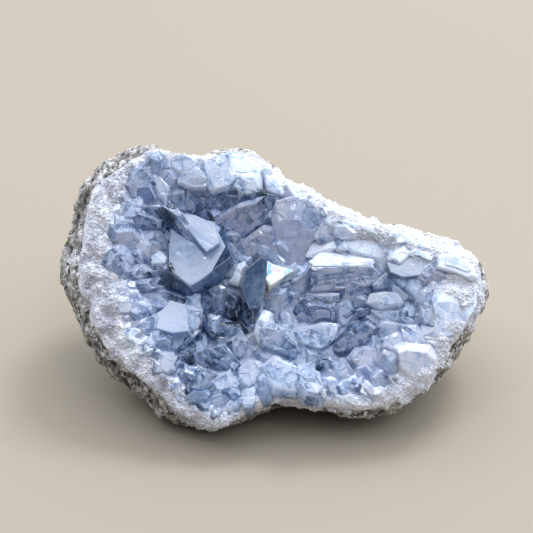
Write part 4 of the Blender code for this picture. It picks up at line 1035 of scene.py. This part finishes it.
def celestiteMaterial(name, rims, passes):
    # celestite: glassy strontium sulphate, index 1.62; the further the light goes in, the bluer it comes
    # back, with clouds inside, growth lines on the faces and a painted highlight on the worn edges
    made, tree, part = newMaterial(
        name, celestite, ("tone", "lilac", "ribs", "wall", "broken", "glint", "facetLight", "rim"))
    # stripes: growth lines along the face
    along = addNode(tree, "Mapping", {"Vector": part["where"], "Scale": celestite["alongFace"]})
    lines = addNode(tree, "TexNoise", {"Vector": along, **celestite["lines"]})
    stripes = addNode(tree, "Math", {0: lines, 1: 0.5}, operation="SUBTRACT")
    part["stripes"] = addNode(tree, "Math", {0: stripes, 1: part["ribs"]}, operation="MULTIPLY")
    # planes: each cell of the pattern is tilted its own way, as where a face has broken or grown in steps
    cells = addNode(tree, "TexVoronoi", {"Vector": part["where"], **celestite["cells"]},
                    output="Color", feature="SMOOTH_F1")
    away = addNode(tree, "VectorMath", {0: part["where"], 1: cells.node.outputs["Position"]},
                   operation="SUBTRACT")
    tilt = addNode(tree, "VectorMath", {0: cells, 1: (0.5, 0.5, 0.5)}, operation="SUBTRACT")
    planes = addNode(tree, "VectorMath", {0: away, 1: tilt}, output="Value", operation="DOT_PRODUCT")
    # grain: the fine mottling of a broken or pitted face, half a millimetre across
    grain = addNode(tree, "Math", {0: part["pitted"], 1: 0.5}, operation="SUBTRACT")
    # marks: bright specks painted as sparkle, and thin curved cracks inside, a few tenths of a millimetre
    # wide
    veins = addNode(tree, "Math", {0: part["vein"], 1: 0.5}, operation="SUBTRACT")
    veins = addNode(tree, "Math", {0: veins}, operation="ABSOLUTE")
    veins = addNode(tree, "MapRange", {0: veins, **dict(enumerate(celestite["veins"], 1))})
    marks = addNode(tree, "Math", {0: part["flecks"], 1: veins}, operation="ADD")
    for key, value in (("planes", planes), ("grain", grain), ("marks", marks)):
        part[key] = addNode(tree, "Math", {0: value, 1: part["broken"]}, operation="MULTIPLY")
    # tone: 0 is the deepest blue and 1 is white
    tone = addNode(tree, "Math", {0: part["tone"], 1: celestite["usual"]}, operation="SUBTRACT")
    for key, share in celestite["adds"].items():
        tone = addNode(tree, "Math", {0: part[key], 1: share, 2: tone}, operation="MULTIPLY_ADD")
    # painted highlight: the worn edges' faces are made brighter
    tone = addNode(tree, "Math", {0: part["rim"], 1: rims, 2: tone}, operation="MULTIPLY_ADD", use_clamp=True)
    # spectrum: painted iridescence, the colours a thin gap inside reflects, pink, blue and yellow in turn
    ramps = {"tones": addNode(tree, "ValToRGB", {0: tone}),
             "spectrum": addNode(tree, "ValToRGB", {0: part["bands"]})}
    for key, (start, step) in celestite["stops"].items():
        stops = ramps[key].node.color_ramp.elements
        for i, code in enumerate(celestite[key]):
            stop = stops[i] if i < 2 else stops.new(1.0)
            stop.position, stop.color = start + step * i, linear(code)
    tinted = addNode(tree, "MixRGB", {0: 1.0, 1: ramps["tones"], 2: celestite["lilac"]},
                     blend_type="MULTIPLY")
    colour = addNode(tree, "MixRGB", {0: part["lilac"], 1: ramps["tones"], 2: tinted})
    colour = addNode(tree, "MixRGB", {0: part["glint"], 1: colour, 2: ramps["spectrum"]})
    more, least = celestite["ribDepth"]
    depth = addNode(tree, "Math", {0: part["ribs"], 1: more, 2: least}, operation="MULTIPLY_ADD")
    height = addNode(tree, "Math", {0: lines, 1: depth}, operation="MULTIPLY")
    for key, share in celestite["relief"].items():
        height = addNode(tree, "Math", {0: part[key], 1: share, 2: height}, operation="MULTIPLY_ADD")
    finishMaterial(tree, colour, height, celestite["bump"], {**celestite["shader"], **passes})
    inside = addNode(tree, "VolumeAbsorption", {"Color": celestite["absorbs"],
                                                "Density": celestite["density"]})
    tree.links.new(inside, tree.nodes["Material Output"].inputs["Volume"])
    return made


for kind in ("clear", "milky"):
    name = kind + "Crystals"
    buildPiece(name, joinCrystals(kind, name), celestiteMaterial(kind + "Celestite", *celestite[kind]))

# sugar: thousands of tiny four-sided crystals on the white crust
sugar = {
    "onBed": 8500,
    "bedTo": -5,  # the bed's last rings without any
    "onRind": 9500,
    "rindTo": -8,
    "size": (0.14, 0.38),  # half width
    "shape": (1.3, 0.85),  # length and width, for the half width, and the same for the narrow top
    "top": (0.55, 0.4),
    "turned": 0.35,  # how far a corner turns aside, as a share of a quarter turn
    "sunk": 1.3,  # depth of the root, height of the shoulder and of the top, for the half width
    "shoulder": (-0.2, 0.3),
    "rise": (0.4, 0.75),
    "lean": 0.45,
}


def scatter(grid, weight, count):
    # random places on a grid of points, as many on each patch as its area times its weight asks:
    # point = the patch's corners blended by two random shares
    across, beside = grid[1:] - grid[:-1], np.roll(grid, -1, axis=1) - grid
    odds = np.linalg.norm(np.cross(across, beside[:-1]), axis=-1) * weight[:-1]
    i, j = np.divmod(rng.choice(odds.size, count, p=odds.ravel() / odds.sum()), grid.shape[1])
    a, b = rng.uniform(size=(2, count, 1))
    return grid[i, j] + a * across[i, j] + b * beside[i, j], gridNormals(grid)[i, j]


def sprinkle(name, at, up):
    # grains with a narrow top, standing on the surface and leaning all ways: each is a cross-section
    # carried along its own axis, as for the crystals
    count = len(at)
    half = rng.uniform(*sugar["size"], count) * mm
    turns = rng.uniform(0, sugar["turned"] * math.pi / 2, (count, 4)) + np.arange(4) * math.pi / 2
    profiles = np.stack([np.cos(turns), np.sin(turns)], -1) * sugar["shape"] * half[:, None, None]
    levels = levelTable((1, 1, -sugar["sunk"] * half, 0, 0),
                        (1, 1, rng.uniform(*sugar["shoulder"], count) * half, 0, 0),
                        (*sugar["top"], rng.uniform(*sugar["rise"], count) * half, 0, 0))
    axes = faceFrames(up + rng.normal(size=up.shape) * sugar["lean"], rng.uniform(0, 6, count))
    points, _ = crystalSkins(at, axes, profiles, levels)
    faces = crystalFaces(*points.shape[:3])
    points = placed(points.reshape(-1, 3))
    mesh = newMesh(name, points, faces, {"white": np.ones(len(points)), "shade": np.zeros(len(points))})
    buildPiece(name, mesh, druse)


onBed, onRind = slice(0, sugar["bedTo"]), slice(rind["frontRings"], sugar["rindTo"])
sprinkle("innerSugar", *scatter(bedTop[onBed], whiteAt(bedTop[onBed, :, 0], bedTop[onBed, :, 1]),
                                sugar["onBed"]))
sprinkle("outerSugar", *scatter(rindGrid[onRind], rindWhite[onRind] ** 2, sugar["onRind"]))

# floor, light and camera
studio = {
    "floor": "#9d9282",
    "paper": {"Roughness": 0.9, "Specular IOR Level": 0.1},
    "floorHalf": 1.5,  # metres, as the lamps' places and widths are
    "lowSky": "#222326",
    "highSky": "#e8f1ff",
    "skyStrength": 2.4,
    "skyFrom": (0.20, 0.35),  # how much the sky is brighter on the right and behind
    "skyHeight": (0.05, 0.85),  # where the dim sky ends and the bright one begins
    "lamps": [  # place, width, watts
        ((0.45, 0.55, 1.20), 0.40, 9.5), ((-0.45, -0.25, 0.85), 0.05, 0.5), ((0.30, -0.55, 0.85), 0.05, 0.5),
    ],
    "cameraAt": (-1.79, 3.80, 232.0),  # u, v, w
    "sensor": 36.0,
    "shows": 119.3,  # width of the face plane that the picture takes in
}
edge = studio["floorHalf"]
floorMesh = bpy.data.meshes.new("floor")
floorMesh.from_pydata([(-edge, -edge, 0), (edge, -edge, 0), (edge, edge, 0), (-edge, edge, 0)], [],
                      [(0, 1, 2, 3)])
floor = bpy.data.objects.new("floor", floorMesh)
bpy.context.scene.collection.objects.link(floor)
paper = bpy.data.materials.new("mattPaper")
paper.use_nodes = True
shader = paper.node_tree.nodes["Principled BSDF"]
for key, value in {"Base Color": linear(studio["floor"]), **studio["paper"]}.items():
    shader.inputs[key].default_value = value
floorMesh.materials.append(paper)

# a soft sky: dim low down in front, bright overhead, behind and on the right
world = bpy.data.worlds.new("softSky")
bpy.context.scene.world = world
world.use_nodes = True
tree = world.node_tree
direction = addNode(tree, "TexCoord", output="Generated")
height = addNode(tree, "SeparateXYZ", {0: direction}, output=2)
for axis in (1, 0):
    side = addNode(tree, "SeparateXYZ", {0: direction}, output=axis)
    height = addNode(tree, "Math", {0: side, 1: studio["skyFrom"][axis], 2: height}, operation="MULTIPLY_ADD")
height = addNode(tree, "MapRange", {0: height, 1: studio["skyHeight"][0], 2: studio["skyHeight"][1]},
                 interpolation_type="SMOOTHSTEP")
sky = addNode(tree, "MixRGB", {0: height, 1: studio["lowSky"], 2: studio["highSky"]})
tree.links.new(sky, tree.nodes["Background"].inputs["Color"])
tree.nodes["Background"].inputs["Strength"].default_value = studio["skyStrength"]

for i, (place, width, watts) in enumerate(studio["lamps"]):
    lamp = bpy.data.lights.new(f"softBox{i}", "AREA")
    lamp.energy, lamp.size = watts, width
    softBox = bpy.data.objects.new(lamp.name, lamp)
    softBox.location = place
    softBox.rotation_euler = (-Vector(place)).to_track_quat("-Z", "Y").to_euler()
    bpy.context.scene.collection.objects.link(softBox)

lens = bpy.data.cameras.new("camera")
lens.sensor_width = studio["sensor"]
lens.lens = studio["sensor"] * studio["cameraAt"][2] / studio["shows"]
lens.clip_start, lens.clip_end = 0.001, 10
camera = bpy.data.objects.new("camera", lens)
view = faceToWorld.copy()
view.translation = Vector(placed(np.array(studio["cameraAt"]) * mm))
camera.matrix_world = view
bpy.context.scene.collection.objects.link(camera)
bpy.context.scene.camera = camera

# light passes many faces on its way through the crystals
scene = bpy.context.scene
scene.view_settings.view_transform = "Standard"
scene.cycles.use_denoising = True
scene.cycles.max_bounces = 20
scene.cycles.transmission_bounces = 20
scene.cycles.diffuse_bounces = 4
scene.cycles.glossy_bounces = 8
